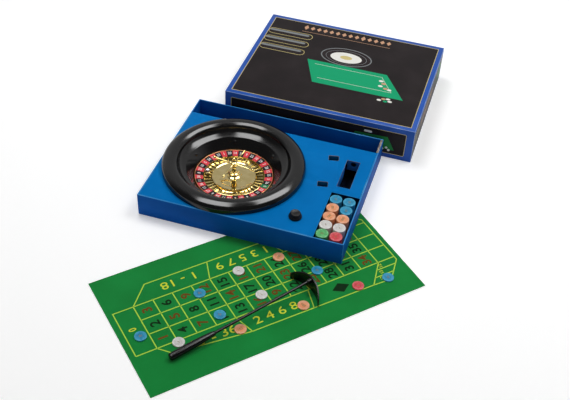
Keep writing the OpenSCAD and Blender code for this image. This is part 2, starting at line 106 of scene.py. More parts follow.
def newMaterial(name, values):
    made = bpy.data.materials.new(name)
    made.use_nodes = True
    tree = made.node_tree
    tree.nodes.clear()
    shader = addNode(tree, "ShaderNodeBsdfPrincipled", values)
    output = addNode(tree, "ShaderNodeOutputMaterial", links={"Surface": shader.outputs[0]})
    place = addNode(tree, "ShaderNodeTexCoord").outputs["Object"]
    return made, tree, shader, place


def noiseAt(tree, place, sizeMm, detail=2.0, rough=0.5):
    return addNode(tree, "ShaderNodeTexNoise", {"Scale": 1000 / sizeMm, "Detail": detail, "Roughness": rough},
                   {"Vector": place}).outputs["Fac"]


def shadesOf(tree, factor, stops):
    ramp = addNode(tree, "ShaderNodeValToRGB", links={"Fac": factor})
    ramp.color_ramp.elements[0].position, ramp.color_ramp.elements[0].color = stops[0][0], colour(stops[0][1])
    ramp.color_ramp.elements[1].position, ramp.color_ramp.elements[1].color = stops[-1][0], colour(stops[-1][1])
    for at, code in stops[1:-1]:
        ramp.color_ramp.elements.new(at).color = colour(code)
    return ramp.outputs["Color"]


def bumpOf(tree, shader, height, strength, distanceMm):
    bump = addNode(tree, "ShaderNodeBump", {"Strength": strength, "Distance": distanceMm / 1000}, {"Height": height})
    tree.links.new(bump.outputs["Normal"], shader.inputs["Normal"])


def roughOf(tree, shader, factor, low, high):
    spread = addNode(tree, "ShaderNodeMapRange", {"To Min": low, "To Max": high}, {"Value": factor})
    tree.links.new(spread.outputs["Result"], shader.inputs["Roughness"])


def paper(name, plain, shade, light, rough, coat=0.0):
    # Litho paper glued over grey board: even ink, fine tooth of the paper, a soft sheen where it is varnished
    made, tree, shader, place = newMaterial(name, {"Roughness": rough, "IOR": 1.45, "Specular IOR Level": 0.08,
                                                   "Coat Weight": coat, "Coat Roughness": 0.25})
    cloud = noiseAt(tree, place, 60, 3)
    tree.links.new(shadesOf(tree, cloud, [(0.3, shade), (0.5, plain), (0.72, light)]), shader.inputs["Base Color"])
    tooth = noiseAt(tree, place, 0.9, 4, 0.6)
    roughOf(tree, shader, tooth, rough - 0.06, rough + 0.08)
    bumpOf(tree, shader, tooth, 0.12, 0.05)
    return made


def printInk(name, code, rough=0.5, coat=0.0):
    # Printing ink on paper or felt: flat colour with a trace of the ground's tooth
    made, tree, shader, place = newMaterial(name, {"Roughness": rough, "IOR": 1.47, "Specular IOR Level": 0.08,
                                                   "Coat Weight": coat, "Coat Roughness": 0.25})
    speck = noiseAt(tree, place, 1.2, 3, 0.6)
    base = colour(code)
    worn = addNode(tree, "ShaderNodeMix", {6: base, 7: tuple(min(1, c * 1.25 + 0.01) for c in base[:3]) + (1,)},
                   {0: speck}, data_type="RGBA")
    tree.links.new(worn.outputs[2], shader.inputs["Base Color"])
    bumpOf(tree, shader, speck, 0.1, 0.05)
    return made


casePaper = paper("casePaperBlue", "#0658b0", "#0552a8", "#085eb8", 0.45)
# rim and rounded edges of the case: lighter from rubbed wear and from painted highlight
caseEdgeWearHighlight = paper("caseEdgeRubbedHighlight", "#3f94d8", "#2f86cc", "#62aee6", 0.5)
caseFloorPaintedShade = paper("caseFloorPaintedShade", "#0a1222", "#070d18", "#0e182c", 0.8)   # painted shade: near-black bottom under the insert, standing in for the shade it lies in
deckPaper = paper("deckBoardBlue", "#0072bc", "#006eb6", "#0277c2", 0.5)
# rounded edges of the deck: lighter from rubbed wear and from painted highlight
deckEdgeWearHighlight = paper("deckEdgeRubbedHighlight", "#2f9be0", "#1f8cd2", "#58b2ec", 0.55)
flapPaper = paper("wellFlapBlue", "#2a78d8", "#246fce", "#3384e2", 0.5)
greyBoard = paper("cutGreyBoard", "#8b8076", "#75695f", "#a89c90", 0.85)   # the raw edge of the board
flangePaintedShade = paper("flangePaintedShadeBlue", "#07162e", "#051226", "#0a1b36", 0.7)   # painted shade: near-black blue for the board seen down inside the chip bay, which stands in shade
lidBlue = paper("lidBorderBlue", "#2f5bb2", "#2a54a9", "#3663ba", 0.32, 0.05)
# rim and rounded edges of the lid: lighter from rubbed wear and from painted highlight
lidEdgeWearHighlight = paper("lidEdgeRubbedHighlight", "#8ea9dc", "#6488cc", "#c4d2ee", 0.35, 0.05)
lidField = paper("lidFieldBlack", "#241f20", "#1f1b1c", "#2a2526", 0.3, 0.05)
lidInside = paper("lidInsideGrey", "#b9b2a8", "#aaa399", "#c6c0b7", 0.9)
goldInk = printInk("goldInk", "#cdbd80", 0.35, 0.05)
copperInk = printInk("copperInk", "#c99c7c", 0.35, 0.05)
greenInk = printInk("greenInk", "#0c9c6a", 0.35, 0.05)
darkGreenInk = printInk("darkGreenInk", "#1e7a3c", 0.35, 0.05)
whiteInk = printInk("whiteInk", "#e8e6df", 0.35, 0.05)
greyInk = printInk("greyInk", "#7d8183", 0.35, 0.05)
feltYellow = printInk("feltYellow", "#b6dc4a", 0.8)
feltDigitYellow = printInk("feltDigitYellow", "#d4dc3c", 0.8)
feltRed = printInk("feltRed", "#6b4318", 0.85)
feltBlack = printInk("feltBlack", "#07240c", 0.85)
chipMark = printInk("chipMark", "#8c7a52", 0.5)
ringRed = printInk("ringRed", "#dd3f4a", 0.25, 0.2)
ringBlack = printInk("ringBlack", "#1f1618", 0.25, 0.2)
ringGreen = printInk("ringGreen", "#0f7a4b", 0.25, 0.2)
ringWhite = printInk("ringWhite", "#f2ecea", 0.3, 0.2)


def tornBoard():
    # Raw board where the covering came away: fibres run along the wall, with scraps of blue paper left on
    made, tree, shader, place = newMaterial("tornBoard", {"Roughness": 0.9})
    along = addNode(tree, "ShaderNodeMapping", {"Scale": (1.0, 0.12, 1.0)}, {"Vector": place}).outputs[0]
    fibres = noiseAt(tree, along, 1.1, 4, 0.7)
    tree.links.new(shadesOf(tree, fibres, [(0.3, "#1f3a66"), (0.4, "#5f554e"), (0.52, "#83776e"), (0.62, "#c9c2ba"),
                                           (0.7, "#574c45")]), shader.inputs["Base Color"])
    bumpOf(tree, shader, fibres, 0.6, 0.3)
    return made


tornEdge = tornBoard()


def blackStyrene(name, base, rough, scuff, specular=0.5):
    # Injection moulded black polystyrene: deep gloss that smears lamps into soft bars, hairline scuffs
    made, tree, shader, place = newMaterial(name, {"IOR": 1.5, "Specular IOR Level": specular})
    cloud = noiseAt(tree, place, 35, 3)
    tree.links.new(shadesOf(tree, cloud, [(0.3, base), (0.8, scuff)]), shader.inputs["Base Color"])
    hair = noiseAt(tree, place, 1.5, 5, 0.7)
    roughOf(tree, shader, hair, rough - 0.04, rough + 0.05)
    ripple = noiseAt(tree, place, 22, 1)
    bumpOf(tree, shader, ripple, 0.15, 0.12)
    return made


bowlBlack = blackStyrene("bowlStyreneBlack", "#0a0a0b", 0.13, "#121112", 0.55)
markerBlack = blackStyrene("markerStyreneBlack", "#060606", 0.38, "#0b0a0b", 0.3)
rakeBlack = blackStyrene("rakeLacquerBlack", "#040404", 0.25, "#080708", 0.3)


def metal(name, plain, shade, rough, ripple):
    # Vacuum metallised or polished metal: mirror with the waviness of the moulding under it
    made, tree, shader, place = newMaterial(name, {"Metallic": 1.0})
    cloud = noiseAt(tree, place, 14, 2)
    tree.links.new(shadesOf(tree, cloud, [(0.3, shade), (0.7, plain)]), shader.inputs["Base Color"])
    roughOf(tree, shader, noiseAt(tree, place, 1.2, 3), rough - 0.05, rough + 0.07)
    bumpOf(tree, shader, noiseAt(tree, place, 9, 2), ripple, 0.15)
    return made


goldPlate = metal("goldMetallised", "#e2d09a", "#d6c184", 0.07, 0.03)
goldPlateBright = metal("goldMetallisedBright", "#f0dfa0", "#e4cb84", 0.1, 0.05)
trimCopper = metal("trimCopperFoil", "#e0a070", "#d38f60", 0.35, 0.1)
ballSteel = metal("ballBearingSteel", "#d6d6da", "#c4c4ca", 0.08, 0.02)
pinSteel = metal("spindleSteel", "#bcbec2", "#a9abb0", 0.3, 0.02)


def chipPlastic(name, plain, light, dark):
    # Moulded chip plastic, slightly clear, its tone drifting in soft clouds; a paler copy of it on the face's rim is
    # painted highlight, so the colour looks deeper in the middle
    made, tree, shader, place = newMaterial(name, {"Roughness": 0.32, "IOR": 1.49, "Subsurface Weight": 0.15,
                                                   "Subsurface Radius": (0.6, 0.6, 0.6), "Subsurface Scale": 0.002})
    cloud = noiseAt(tree, place, 6, 3)
    tree.links.new(shadesOf(tree, cloud, [(0.25, dark), (0.5, plain), (0.8, light)]), shader.inputs["Base Color"])
    bumpOf(tree, shader, noiseAt(tree, place, 1.6, 3), 0.12, 0.08)
    return made


chipShades = {
    "green": ("#54b268", "#7fcb8c", "#3f9c55"), "white": ("#dcdad6", "#efeeeb", "#c8c4bf"),
    "orange": ("#f2a072", "#f9bd98", "#e58a5a"), "blue": ("#1f8fbc", "#45a9cf", "#157aa6"),
    "red": ("#d9434c", "#e8727a", "#c5323e"),
}
chipFinish = {key: chipPlastic("chip" + key.capitalize(), *codes) for key, codes in chipShades.items()}
# paler copies of the plastic for the face's rim and bead: painted highlight
chipRelief = {key: chipPlastic("chipRelief" + key.capitalize(), codes[1], codes[1], codes[0])
              for key, codes in chipShades.items()}


def feltMaterial():
    # Needled green felt: matt, short fuzz that catches light at a slant, faint darker pressing marks
    made, tree, shader, place = newMaterial("layoutFelt", {"Roughness": 0.95, "IOR": 1.45, "Specular IOR Level": 0.2,
                                                           "Sheen Weight": 0.15, "Sheen Roughness": 0.6})
    cloud = noiseAt(tree, place, 90, 3)
    fuzz = noiseAt(tree, place, 0.8, 5, 0.75)                      # fibre clumps, drawn coarser than the real 0.1 mm
    both = addNode(tree, "ShaderNodeMath", {1: 0.5}, {0: cloud}, operation="MULTIPLY").outputs[0]
    both = addNode(tree, "ShaderNodeMath", {1: 0.5, }, {0: fuzz, 2: both}, operation="MULTIPLY_ADD").outputs[0]
    tree.links.new(shadesOf(tree, both, [(0.3, "#00772c"), (0.5, "#028636"), (0.7, "#0a9440")]),
                   shader.inputs["Base Color"])
    bumpOf(tree, shader, fuzz, 0.35, 0.25)
    return made


felt = feltMaterial()


def nylonWhite():
    # Turned nylon of the bush and the thrust washer: milky, with a waxy sheen and fine turning marks
    made, tree, shader, place = newMaterial("nylonNatural", {"Roughness": 0.4, "IOR": 1.53, "Subsurface Weight": 0.1,
                                                             "Subsurface Radius": (1, 1, 0.9),
                                                             "Subsurface Scale": 0.001})
    cloud = noiseAt(tree, place, 8, 2)
    tree.links.new(shadesOf(tree, cloud, [(0.3, "#d6d0c2"), (0.7, "#e4dfd3")]), shader.inputs["Base Color"])
    bumpOf(tree, shader, noiseAt(tree, place, 0.7, 3), 0.1, 0.03)
    return made


nylon = nylonWhite()
print("materials made")


def finishPiece(name, mesh, place, body, materials, replaces=(), smooth=None):
    mesh.transform(place)
    mesh.update()
    piece = bpy.data.objects.new(name, mesh)
    scene.collection.objects.link(piece)
    marks = [0] * len(mesh.polygons)
    mesh.polygons.foreach_get("material_index", marks)
    mesh.materials.clear()
    for made in materials:
        mesh.materials.append(made)
    mesh.polygons.foreach_set("material_index", [min(m, len(materials) - 1) for m in marks])
    if smooth is not None:
        mesh.shade_smooth()
        mesh.set_sharp_from_angle(angle=math.radians(smooth))
    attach(piece, body)
    if replaces:
        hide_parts(*replaces)
    return piece


def meshFrom(name, points, faces):
    mesh = bpy.data.meshes.new(name)
    mesh.from_pydata([tuple(p) for p in points], [], faces)
    mesh.validate()
    return mesh


def fromBmesh(name, bm):
    mesh = bpy.data.meshes.new(name)
    bm.to_mesh(mesh)
    bm.free()
    return mesh


def latheMesh(name, profile, steps=128, closed=False):
    # Profile in (radius, height); points on the axis become one pole. Turned about Z, faces outwards
    points, rings, faces = [], [], []
    for radius, height in profile:
        if radius < 1e-6:
            rings.append([len(points)] * steps)
            points.append((0, 0, height))
        else:
            rings.append([len(points) + i for i in range(steps)])
            points += [(radius * math.cos(2 * math.pi * i / steps), radius * math.sin(2 * math.pi * i / steps), height)
                       for i in range(steps)]
    pairs = list(zip(rings, rings[1:])) + ([(rings[-1], rings[0])] if closed else [])
    for one, two in pairs:
        for i in range(steps):
            corner = []
            for v in (one[i], one[(i + 1) % steps], two[(i + 1) % steps], two[i]):
                if v not in corner:
                    corner.append(v)
            if len(corner) > 2:
                faces.append(corner)
    mesh = meshFrom(name, points, faces)
    bm = bmesh.new()
    bm.from_mesh(mesh)
    bmesh.ops.recalc_face_normals(bm, faces=bm.faces)
    bm.to_mesh(mesh)
    bm.free()
    return mesh


def arcPoints(cx, cz, rx, rz, start, end, steps):
    return [(cx + rx * math.cos(math.radians(start + (end - start) * i / steps)),
             cz + rz * math.sin(math.radians(start + (end - start) * i / steps))) for i in range(steps + 1)]


def cutSheet(name, outlines, low, thick, edge=0.0, resolution=12):
    # A flat piece with holes, cut from outlines: its edges rounded by edge
    curve = bpy.data.curves.new(name, "CURVE")
    curve.dimensions, curve.fill_mode = "2D", "BOTH"
    curve.extrude = thick / 2 - edge
    curve.bevel_depth, curve.bevel_resolution = edge, 1
    curve.offset = -edge
    curve.resolution_u = resolution
    for outline in outlines:
        spline = curve.splines.new("POLY")
        spline.points.add(len(outline) - 1)
        for point, (x, y) in zip(spline.points, outline):
            point.co = (x, y, 0, 1)
        spline.use_cyclic_u = True
    return curveMesh(name, curve, Matrix.Translation((0, 0, low + thick / 2)))


def curveMesh(name, curve, place):
    holder = bpy.data.objects.new(name + "Curve", curve)
    scene.collection.objects.link(holder)
    graph = bpy.context.evaluated_depsgraph_get()
    mesh = bpy.data.meshes.new_from_object(holder.evaluated_get(graph))
    bpy.data.objects.remove(holder)
    bm = bmesh.new()
    bm.from_mesh(mesh)
    bmesh.ops.remove_doubles(bm, verts=bm.verts, dist=1e-5)
    bmesh.ops.recalc_face_normals(bm, faces=bm.faces)
    bm.to_mesh(mesh)
    bm.free()
    mesh.transform(place)
    mesh.name = name
    return mesh


def joinMeshes(name, meshes):
    bm = bmesh.new()
    for mesh in meshes:
        bm.from_mesh(mesh)
        bpy.data.meshes.remove(mesh)
    return fromBmesh(name, bm)


def rectangle(x0, y0, x1, y1):
    return [(x0, y0), (x1, y0), (x1, y1), (x0, y1)]


def circle(cx, cy, radius, steps=96):
    return [(cx + radius * math.cos(2 * math.pi * i / steps), cy + radius * math.sin(2 * math.pi * i / steps))
            for i in range(steps)]


def boxMesh(name, low, high, edge=0.0, segments=2):
    bm = bmesh.new()
    bmesh.ops.create_cube(bm, size=1)
    for v in bm.verts:
        v.co = Vector(((low[i] + high[i]) / 2 + v.co[i] * (high[i] - low[i]) for i in range(3)))
    if edge:
        bmesh.ops.bevel(bm, geom=bm.edges[:], offset=edge, segments=segments, profile=0.5, affect="EDGES")
    return fromBmesh(name, bm)


def copiesTree():
    # Geometry Nodes: turns copies of the mesh about the Z axis, or piles them up along it
    tree = bpy.data.node_groups.new("copiesAboutAxis", "GeometryNodeTree")
    for name, kind, default in (("Shape", "NodeSocketGeometry", None), ("Count", "NodeSocketInt", 6),
                                ("First angle", "NodeSocketFloat", 0.0), ("Step angle", "NodeSocketFloat", 0.0),
                                ("Rise", "NodeSocketFloat", 0.0), ("Jitter", "NodeSocketFloat", 0.0),
                                ("Jitter turn", "NodeSocketFloat", 0.0), ("Seed", "NodeSocketInt", 1),
                                ("Finish", "NodeSocketMaterial", None)):
        made = tree.interface.new_socket(name=name, in_out="INPUT", socket_type=kind)
        if default is not None:
            made.default_value = default
    tree.interface.new_socket(name="Shape", in_out="OUTPUT", socket_type="NodeSocketGeometry")
    given = addNode(tree, "NodeGroupInput").outputs
    index = addNode(tree, "GeometryNodeInputIndex").outputs[0]
    spots = addNode(tree, "GeometryNodePoints", links={"Count": given["Count"]}).outputs[0]
    high = addNode(tree, "ShaderNodeMath", links={0: index, 1: given["Rise"]}, operation="MULTIPLY").outputs[0]
    lowest = addNode(tree, "ShaderNodeMath", {1: -1.0}, {0: given["Jitter"]}, operation="MULTIPLY").outputs[0]
    aside = []
    for extra in (0, 1):
        seed = addNode(tree, "ShaderNodeMath", {1: float(extra * 31)}, {0: given["Seed"]}, operation="ADD").outputs[0]
        made = addNode(tree, "FunctionNodeRandomValue", links={"ID": index, "Seed": seed}, data_type="FLOAT")
        tree.links.new(lowest, made.inputs[2])
        tree.links.new(given["Jitter"], made.inputs[3])
        aside.append(made.outputs[1])
    spread = addNode(tree, "ShaderNodeCombineXYZ", links={"X": aside[0], "Y": aside[1], "Z": high}).outputs[0]
    spots = addNode(tree, "GeometryNodeSetPosition", links={"Geometry": spots, "Position": spread}).outputs[0]
    turn = addNode(tree, "ShaderNodeMath", links={0: index, 1: given["Step angle"], 2: given["First angle"]},
                   operation="MULTIPLY_ADD").outputs[0]
    loose = addNode(tree, "FunctionNodeRandomValue", {3: 1.0}, {"ID": index, "Seed": given["Seed"]},
                    data_type="FLOAT").outputs[1]
    turn = addNode(tree, "ShaderNodeMath", links={0: loose, 1: given["Jitter turn"], 2: turn},
                   operation="MULTIPLY_ADD").outputs[0]
    turns = addNode(tree, "ShaderNodeCombineXYZ", links={"Z": turn}).outputs[0]
    copies = addNode(tree, "GeometryNodeInstanceOnPoints",
                     links={"Points": spots, "Instance": given["Shape"], "Rotation": turns}).outputs[0]
    real = addNode(tree, "GeometryNodeRealizeInstances", links={"Geometry": copies}).outputs[0]
    coated = addNode(tree, "GeometryNodeSetMaterial", links={"Geometry": real, "Material": given["Finish"]}).outputs[0]
    addNode(tree, "NodeGroupOutput", links={0: coated})
    return tree


copies = copiesTree()


def copyMesh(name, mesh, values):
    # Runs the tree on a unit mesh and returns the plain mesh that it makes
    holder = bpy.data.objects.new(name + "Unit", mesh)
    scene.collection.objects.link(holder)
    modifier = holder.modifiers.new("copies", "NODES")
    modifier.node_group = copies
    for item in copies.interface.items_tree:
        if item.in_out == "INPUT" and item.name in values:
            modifier[item.identifier] = values[item.name]
    graph = bpy.context.evaluated_depsgraph_get()
    made = bpy.data.meshes.new_from_object(holder.evaluated_get(graph))
    holder.modifiers.remove(modifier)
    bpy.data.objects.remove(holder)
    bpy.data.meshes.remove(mesh)
    made.name = name
    return made


def textMesh(name, words, height, place, thick=0.06, bold=0.0, squeeze=1.0):
    curve = bpy.data.curves.new(name, "FONT")
    curve.body = words
    curve.size = height / 0.73                                     # the built-in face's figures are 0.73 high
    curve.align_x, curve.align_y = "CENTER", "CENTER"
    curve.extrude = thick / 2
    curve.offset = bold
    curve.resolution_u = 3
    mesh = curveMesh(name, curve, Matrix.Identity(4))
    middleX = (min(v.co.x for v in mesh.vertices) + max(v.co.x for v in mesh.vertices)) / 2
    middleY = (min(v.co.y for v in mesh.vertices) + max(v.co.y for v in mesh.vertices)) / 2
    mesh.transform(place @ Matrix.Diagonal((squeeze, 1, 1, 1)) @ Matrix.Translation((-middleX, -middleY, thick / 2)))
    return mesh


def turnedAt(x, y, z, degrees):
    return Matrix.Translation((x, y, z)) @ Matrix.Rotation(math.radians(degrees), 4, "Z")


def stripMesh(name, points, width, thick=0.06, closed=False):
    # Flat printed line along a polyline, mitred at its corners
    path = [Vector(p) for p in points]
    count = len(path)
    inner, outer = [], []
    for i, p in enumerate(path):
        before = path[i - 1] if (i or closed) else None
        after = path[(i + 1) % count] if (i < count - 1 or closed) else None
        first = (p - before).normalized() if before is not None else None
        second = (after - p).normalized() if after is not None else None
        first, second = first or second, second or first
        normal = Vector((-first.y, first.x)) + Vector((-second.y, second.x))
        normal.normalize()
        reach = width / 2 / max(0.3, normal.dot(Vector((-first.y, first.x))))
        inner.append(p + normal * reach)
        outer.append(p - normal * reach)
    points3, faces = [], []
    for z in (0, thick):
        points3 += [(p.x, p.y, z) for p in inner] + [(p.x, p.y, z) for p in outer]
    level = 2 * count
    for i in range(count if closed else count - 1):
        j = (i + 1) % count
        faces += [(i + level, j + level, j + count + level, i + count + level),
                  (i, i + count, j + count, j),
                  (i, j, j + level, i + level), (j + count, i + count, i + count + level, j + count + level)]
    if not closed:
        faces += [(0, level, level + count, count),
                  (count - 1, 2 * count - 1, level + 2 * count - 1, level + count - 1)]
    mesh = meshFrom(name, points3, faces)
    bm = bmesh.new()
    bm.from_mesh(mesh)
    bmesh.ops.recalc_face_normals(bm, faces=bm.faces)
    bm.to_mesh(mesh)
    bm.free()
    return mesh


def openBox(name, width, depth, height, board, soft, rimTest=None):
    # Folded board box, open on top: outside, rim, inside. Slot 0 is paper, 1 the rim and rounded edges (rubbed wear and
    # painted highlight), 2 the inside floor (painted shade in the case)
    bm = bmesh.new()
    corners = []
    for inset, z in ((0, 0), (0, height), (board, height), (board, board)):
        x, y = width / 2 - inset, depth / 2 - inset
        corners.append([bm.verts.new(p) for p in ((-x, -y, z), (x, -y, z), (x, y, z), (-x, y, z))])
    bm.faces.new(reversed(corners[0]))
    for low, high in zip(corners, corners[1:]):
        for i in range(4):
            bm.faces.new((low[i], low[(i + 1) % 4], high[(i + 1) % 4], high[i]))
    bm.faces.new(corners[3])
    bmesh.ops.recalc_face_normals(bm, faces=bm.faces)
    sharp = [e for e in bm.edges if all(abs(v.co.z - board) > 0.01 for v in e.verts)]
    made = bmesh.ops.bevel(bm, geom=sharp, offset=soft, segments=2, profile=0.5, affect="EDGES")
    for f in made["faces"]:
        f.material_index = 1
    for f in bm.faces:
        centre = f.calc_center_median()
        if abs(centre.z - height) < 0.01 and abs(f.normal.z) > 0.9:
            f.material_index = 1
        elif abs(centre.z - board) < 0.01 and f.normal.z > 0.9:
            f.material_index = 2
    return fromBmesh(name, bm)


caseBox = openBox("caseBase", casePlan["width"], casePlan["depth"], casePlan["height"], casePlan["board"], 0.45)
finishPiece("caseBase", caseBox, caseFrame, "case", [casePaper, caseEdgeWearHighlight, caseFloorPaintedShade], ["case_base"], 35)

# The right wall beside the trough, where the covering has torn away: raw inner layer and rim
tornPlan = {"from": 112, "to": 153.4, "wide": 3, "deep": 20, "rise": 0.1, "seed": 4}


def tornRim():
    random.seed(tornPlan["seed"])
    y, x, left, right = tornPlan["from"], casePlan["width"] / 2, [], []
    while y < tornPlan["to"]:
        left.append((x - casePlan["board"] - tornPlan["wide"] + random.uniform(0, 0.5), y))
        right.append((x - random.uniform(0.3, 0.8), y))
        y += random.uniform(1.5, 4)
    rim = cutSheet("tornRim", [left + right[::-1]], casePlan["height"] - 0.4, tornPlan["rise"] + 0.4)
    layer = boxMesh("tornLayer", (x - casePlan["board"] - tornPlan["wide"], tornPlan["from"], casePlan["height"] - tornPlan["deep"]),
                    (x - casePlan["board"] - 0.05, tornPlan["to"], casePlan["height"] - 0.2), 0.15, 1)
    return joinMeshes("tornRim", [rim, layer])


finishPiece("caseTornRim", tornRim(), caseFrame, "case", [tornEdge])
print("case made")


insertPlan = {
    "board": 1.6, "gap": 0.5, "edge": 0.35, "holeRadius": 103.7, "bay": (136.5, -29),
    "well": (153.4, 30, 25, 80), "flap": 23, "fingerHole": 11, "holeDrop": 8.5,
    "slots": ((114.9, 66.8), (114.9, -13.2)), "slot": (19, 14), "slotTurn": 12,
    "sideFlap": 66.6, "sideSlant": 9, "tab": 10,
}


def rounded(x0, y0, x1, y1, radius, steps=6):
    points = []
    for cx, cy, start in ((x1 - radius, y1 - radius, 0), (x0 + radius, y1 - radius, 90), (x0 + radius, y0 + radius, 180),
                          (x1 - radius, y0 + radius, 270)):
        points += [(cx + radius * math.cos(math.radians(start + 90 * i / steps)),
                    cy + radius * math.sin(math.radians(start + 90 * i / steps))) for i in range(steps + 1)]
    return points


def insertMeshes():
    p, full = insertPlan, casePlan["height"]
    left = -casePlan["width"] / 2 + casePlan["board"] + p["gap"]
    right, front, back = -left, -casePlan["depth"] / 2 + casePlan["board"] + p["gap"], casePlan["deckBack"]
    bayLeft, bayBack = p["bay"]
    outline = [(left, front), (bayLeft, front), (bayLeft, bayBack), (right, bayBack), (right, back), (left, back)]
    wheelX, wheelY = (wheelMid.x - caseMid.x) * 1000, (wheelMid.y - caseMid.y) * 1000
    wx, wy, ww, wl = p["well"]
    holes = [circle(wheelX, wheelY, p["holeRadius"])[::-1], rectangle(wx - ww / 2, wy - wl / 2, wx + ww / 2, wy + wl / 2)[::-1]]
    tabs = []
    for sx, sy in p["slots"]:
        turn, (sw, sl) = math.radians(p["slotTurn"]), p["slot"]
        holes.append([(sx + x * math.cos(turn) - y * math.sin(turn), sy + x * math.sin(turn) + y * math.cos(turn))
                      for x, y in rounded(-sw / 2, -sl / 2, sw / 2, sl / 2, 1.6)][::-1])
        tab = boxMesh("tab", (-sw / 2 + 0.6, sl / 2, full - p["tab"]), (sw / 2 - 0.6, sl / 2 + 1.2, full - 0.8), 0.2, 1)
        tab.transform(turnedAt(sx, sy, 0, p["slotTurn"]))
        tabs.append(tab)
    deck = cutSheet("deck", [outline] + holes, full - p["board"], p["board"], p["edge"])
    t, top = p["board"], full - p["board"] / 2
    low = casePlan["board"] + 0.05
    walls = []
    for x0, y0, x1, y1 in ((left, back - t, right, back), (left, front, bayLeft, front + t), (left, front, left + t, back),
                           (right - t, bayBack, right, back), (bayLeft - t, front, bayLeft, bayBack + t),
                           (bayLeft - t, bayBack, right, bayBack + t)):
        flange = boxMesh("flange", (x0, y0, low), (x1, y1, top), 0.2, 1)
        shaded = len(walls) > 2                                        # the last three stand round the chip bay and take the painted shade
        flange.polygons.foreach_set("material_index", [int(shaded)] * len(flange.polygons))
        walls.append(flange)
    side = cutSheet("sideFlap", [[(0, 0), (p["sideFlap"] - p["sideSlant"], 0), (p["sideFlap"], p["flap"] - t / 2),
                                  (0, p["flap"] - t / 2)]], 0, t, 0.3)
    side.transform(Matrix.Translation((wx - ww / 2, wy - wl / 2, full - p["flap"])) @ Matrix.Rotation(math.radians(90), 4, "Z")
                   @ Matrix.Rotation(math.radians(90), 4, "X") @ Matrix.Translation((0, 0, -t)))
    flap = cutSheet("wellFlap", [rectangle(-ww / 2, 0, ww / 2, p["flap"] - t / 2),
                                 circle(0, p["flap"] - p["holeDrop"], p["fingerHole"] / 2, 48)[::-1]], 0, t, 0.3)
    flap.transform(Matrix.Translation((wx, wy + wl / 2 + t, full - p["flap"])) @ Matrix.Rotation(math.radians(90), 4, "X"))
    return deck, walls + tabs, side, flap


deckMesh, flangeMeshes, sideMesh, flapMesh = insertMeshes()


def rubEdges(mesh, levelMm, within):
    # Faces of the rounded edge at that level take the second material, which is rubbed wear with painted highlight
    for f in mesh.polygons:
        if abs(f.center.z - levelMm) < within and 0.2 < abs(f.normal.z) < 0.97:
            f.material_index = 1


def rawEdges(mesh):
    # The cut sides of the well and the slots show the raw board
    wx, wy, ww, wl = insertPlan["well"]
    for f in mesh.polygons:
        nearWell = abs(f.center.x - wx) < ww / 2 + 1 and abs(f.center.y - wy) < wl / 2 + 1
        nearSlot = any(abs(f.center.x - x) < 12 and abs(f.center.y - y) < 12 for x, y in insertPlan["slots"])
        if abs(f.normal.z) < 0.97 and (nearWell or nearSlot):
            f.material_index = 2


rubEdges(deckMesh, casePlan["height"], 0.5)
rawEdges(deckMesh)
finishPiece("insertDeck", deckMesh, caseFrame, "insert", [deckPaper, deckEdgeWearHighlight, greyBoard], ["insert"], 35)
finishPiece("insertFlanges", joinMeshes("insertFlanges", flangeMeshes), caseFrame, "insert", [deckPaper, flangePaintedShade],
            (), 35)
finishPiece("insertSideFlap", sideMesh, caseFrame, "insert", [flapPaper], (), 35)
finishPiece("insertWellFlap", flapMesh, caseFrame, "insert", [flapPaper], ["well_flap"], 35)
print("insert made")


bowlPlan = {
    "radius": 134.4, "foot": 5.5, "crownR": 117, "rimHigh": 18, "stepR": 104.5, "stepZ": 10, "cove": 21, "trackR": 90,
    "trackZ": -1, "trackTilt": 10, "wellR": 75.5, "lip": 1.2,
    "lipZ": -18.6, "floorZ": -40.8, "bossR": 9, "bossZ": -32, "boreR": 2.52, "wall": 2.2, "steps": 192,
    "stops": 6, "stopAngle": 48, "stopOut": 8.5,
}


def bowlProfile():
    p = bowlPlan
    top = [(p["radius"], 0), (p["radius"], p["foot"])]
    top += arcPoints(p["crownR"], p["foot"], p["radius"] - p["crownR"], p["rimHigh"] - p["foot"], 10, 90, 16)
    top += arcPoints(p["crownR"], p["stepZ"], p["crownR"] - p["stepR"], p["rimHigh"] - p["stepZ"], 96, 180, 16)
    tilt = math.radians(p["trackTilt"])
    top += arcPoints(p["trackR"] - p["cove"] * math.sin(tilt), p["trackZ"] + p["cove"] * math.cos(tilt), p["cove"],
                     p["cove"], -30, p["trackTilt"] - 88, 14)
    top += [(p["trackR"] - 0.2, p["trackZ"] - 0.1), (p["trackR"] - 0.8, p["trackZ"] - 0.7)]
    top += [(p["wellR"] + p["lip"], p["lipZ"]), (p["wellR"] + 0.5, p["lipZ"] - 1),
            (p["wellR"], p["lipZ"] - 2.6), (p["wellR"], p["floorZ"] + 2), (p["wellR"] - 0.6, p["floorZ"] + 0.6),
            (p["wellR"] - 2, p["floorZ"]), (p["bossR"] + 1.2, p["floorZ"]), (p["bossR"] + 0.8, p["floorZ"] + 0.5),
            (p["bossR"], p["bossZ"] - 0.5), (p["bossR"] - 0.5, p["bossZ"]), (p["boreR"], p["bossZ"])]
    under = []
    path = [Vector(q) for q in top]
    for i in range(len(path) - 1, -1, -1):
        before = (path[i] - path[i - 1]).normalized() if i else (path[1] - path[0]).normalized()
        after = (path[i + 1] - path[i]).normalized() if i < len(path) - 1 else before
        normal = (Vector((-before.y, before.x)) + Vector((-after.y, after.x))).normalized()
        reach = p["wall"] / max(0.5, normal.dot(Vector((-before.y, before.x))))
        under.append(tuple(path[i] + normal * reach))
    under[-1] = (p["radius"] - p["wall"], 0)
    under[0] = (p["boreR"], p["bossZ"] - p["wall"])
    return top + under


finishPiece("wheelBowl", latheMesh("wheelBowl", bowlProfile(), bowlPlan["steps"], True), wheelFrame, "wheel",
            [bowlBlack], ["wheel_bowl"], 50)


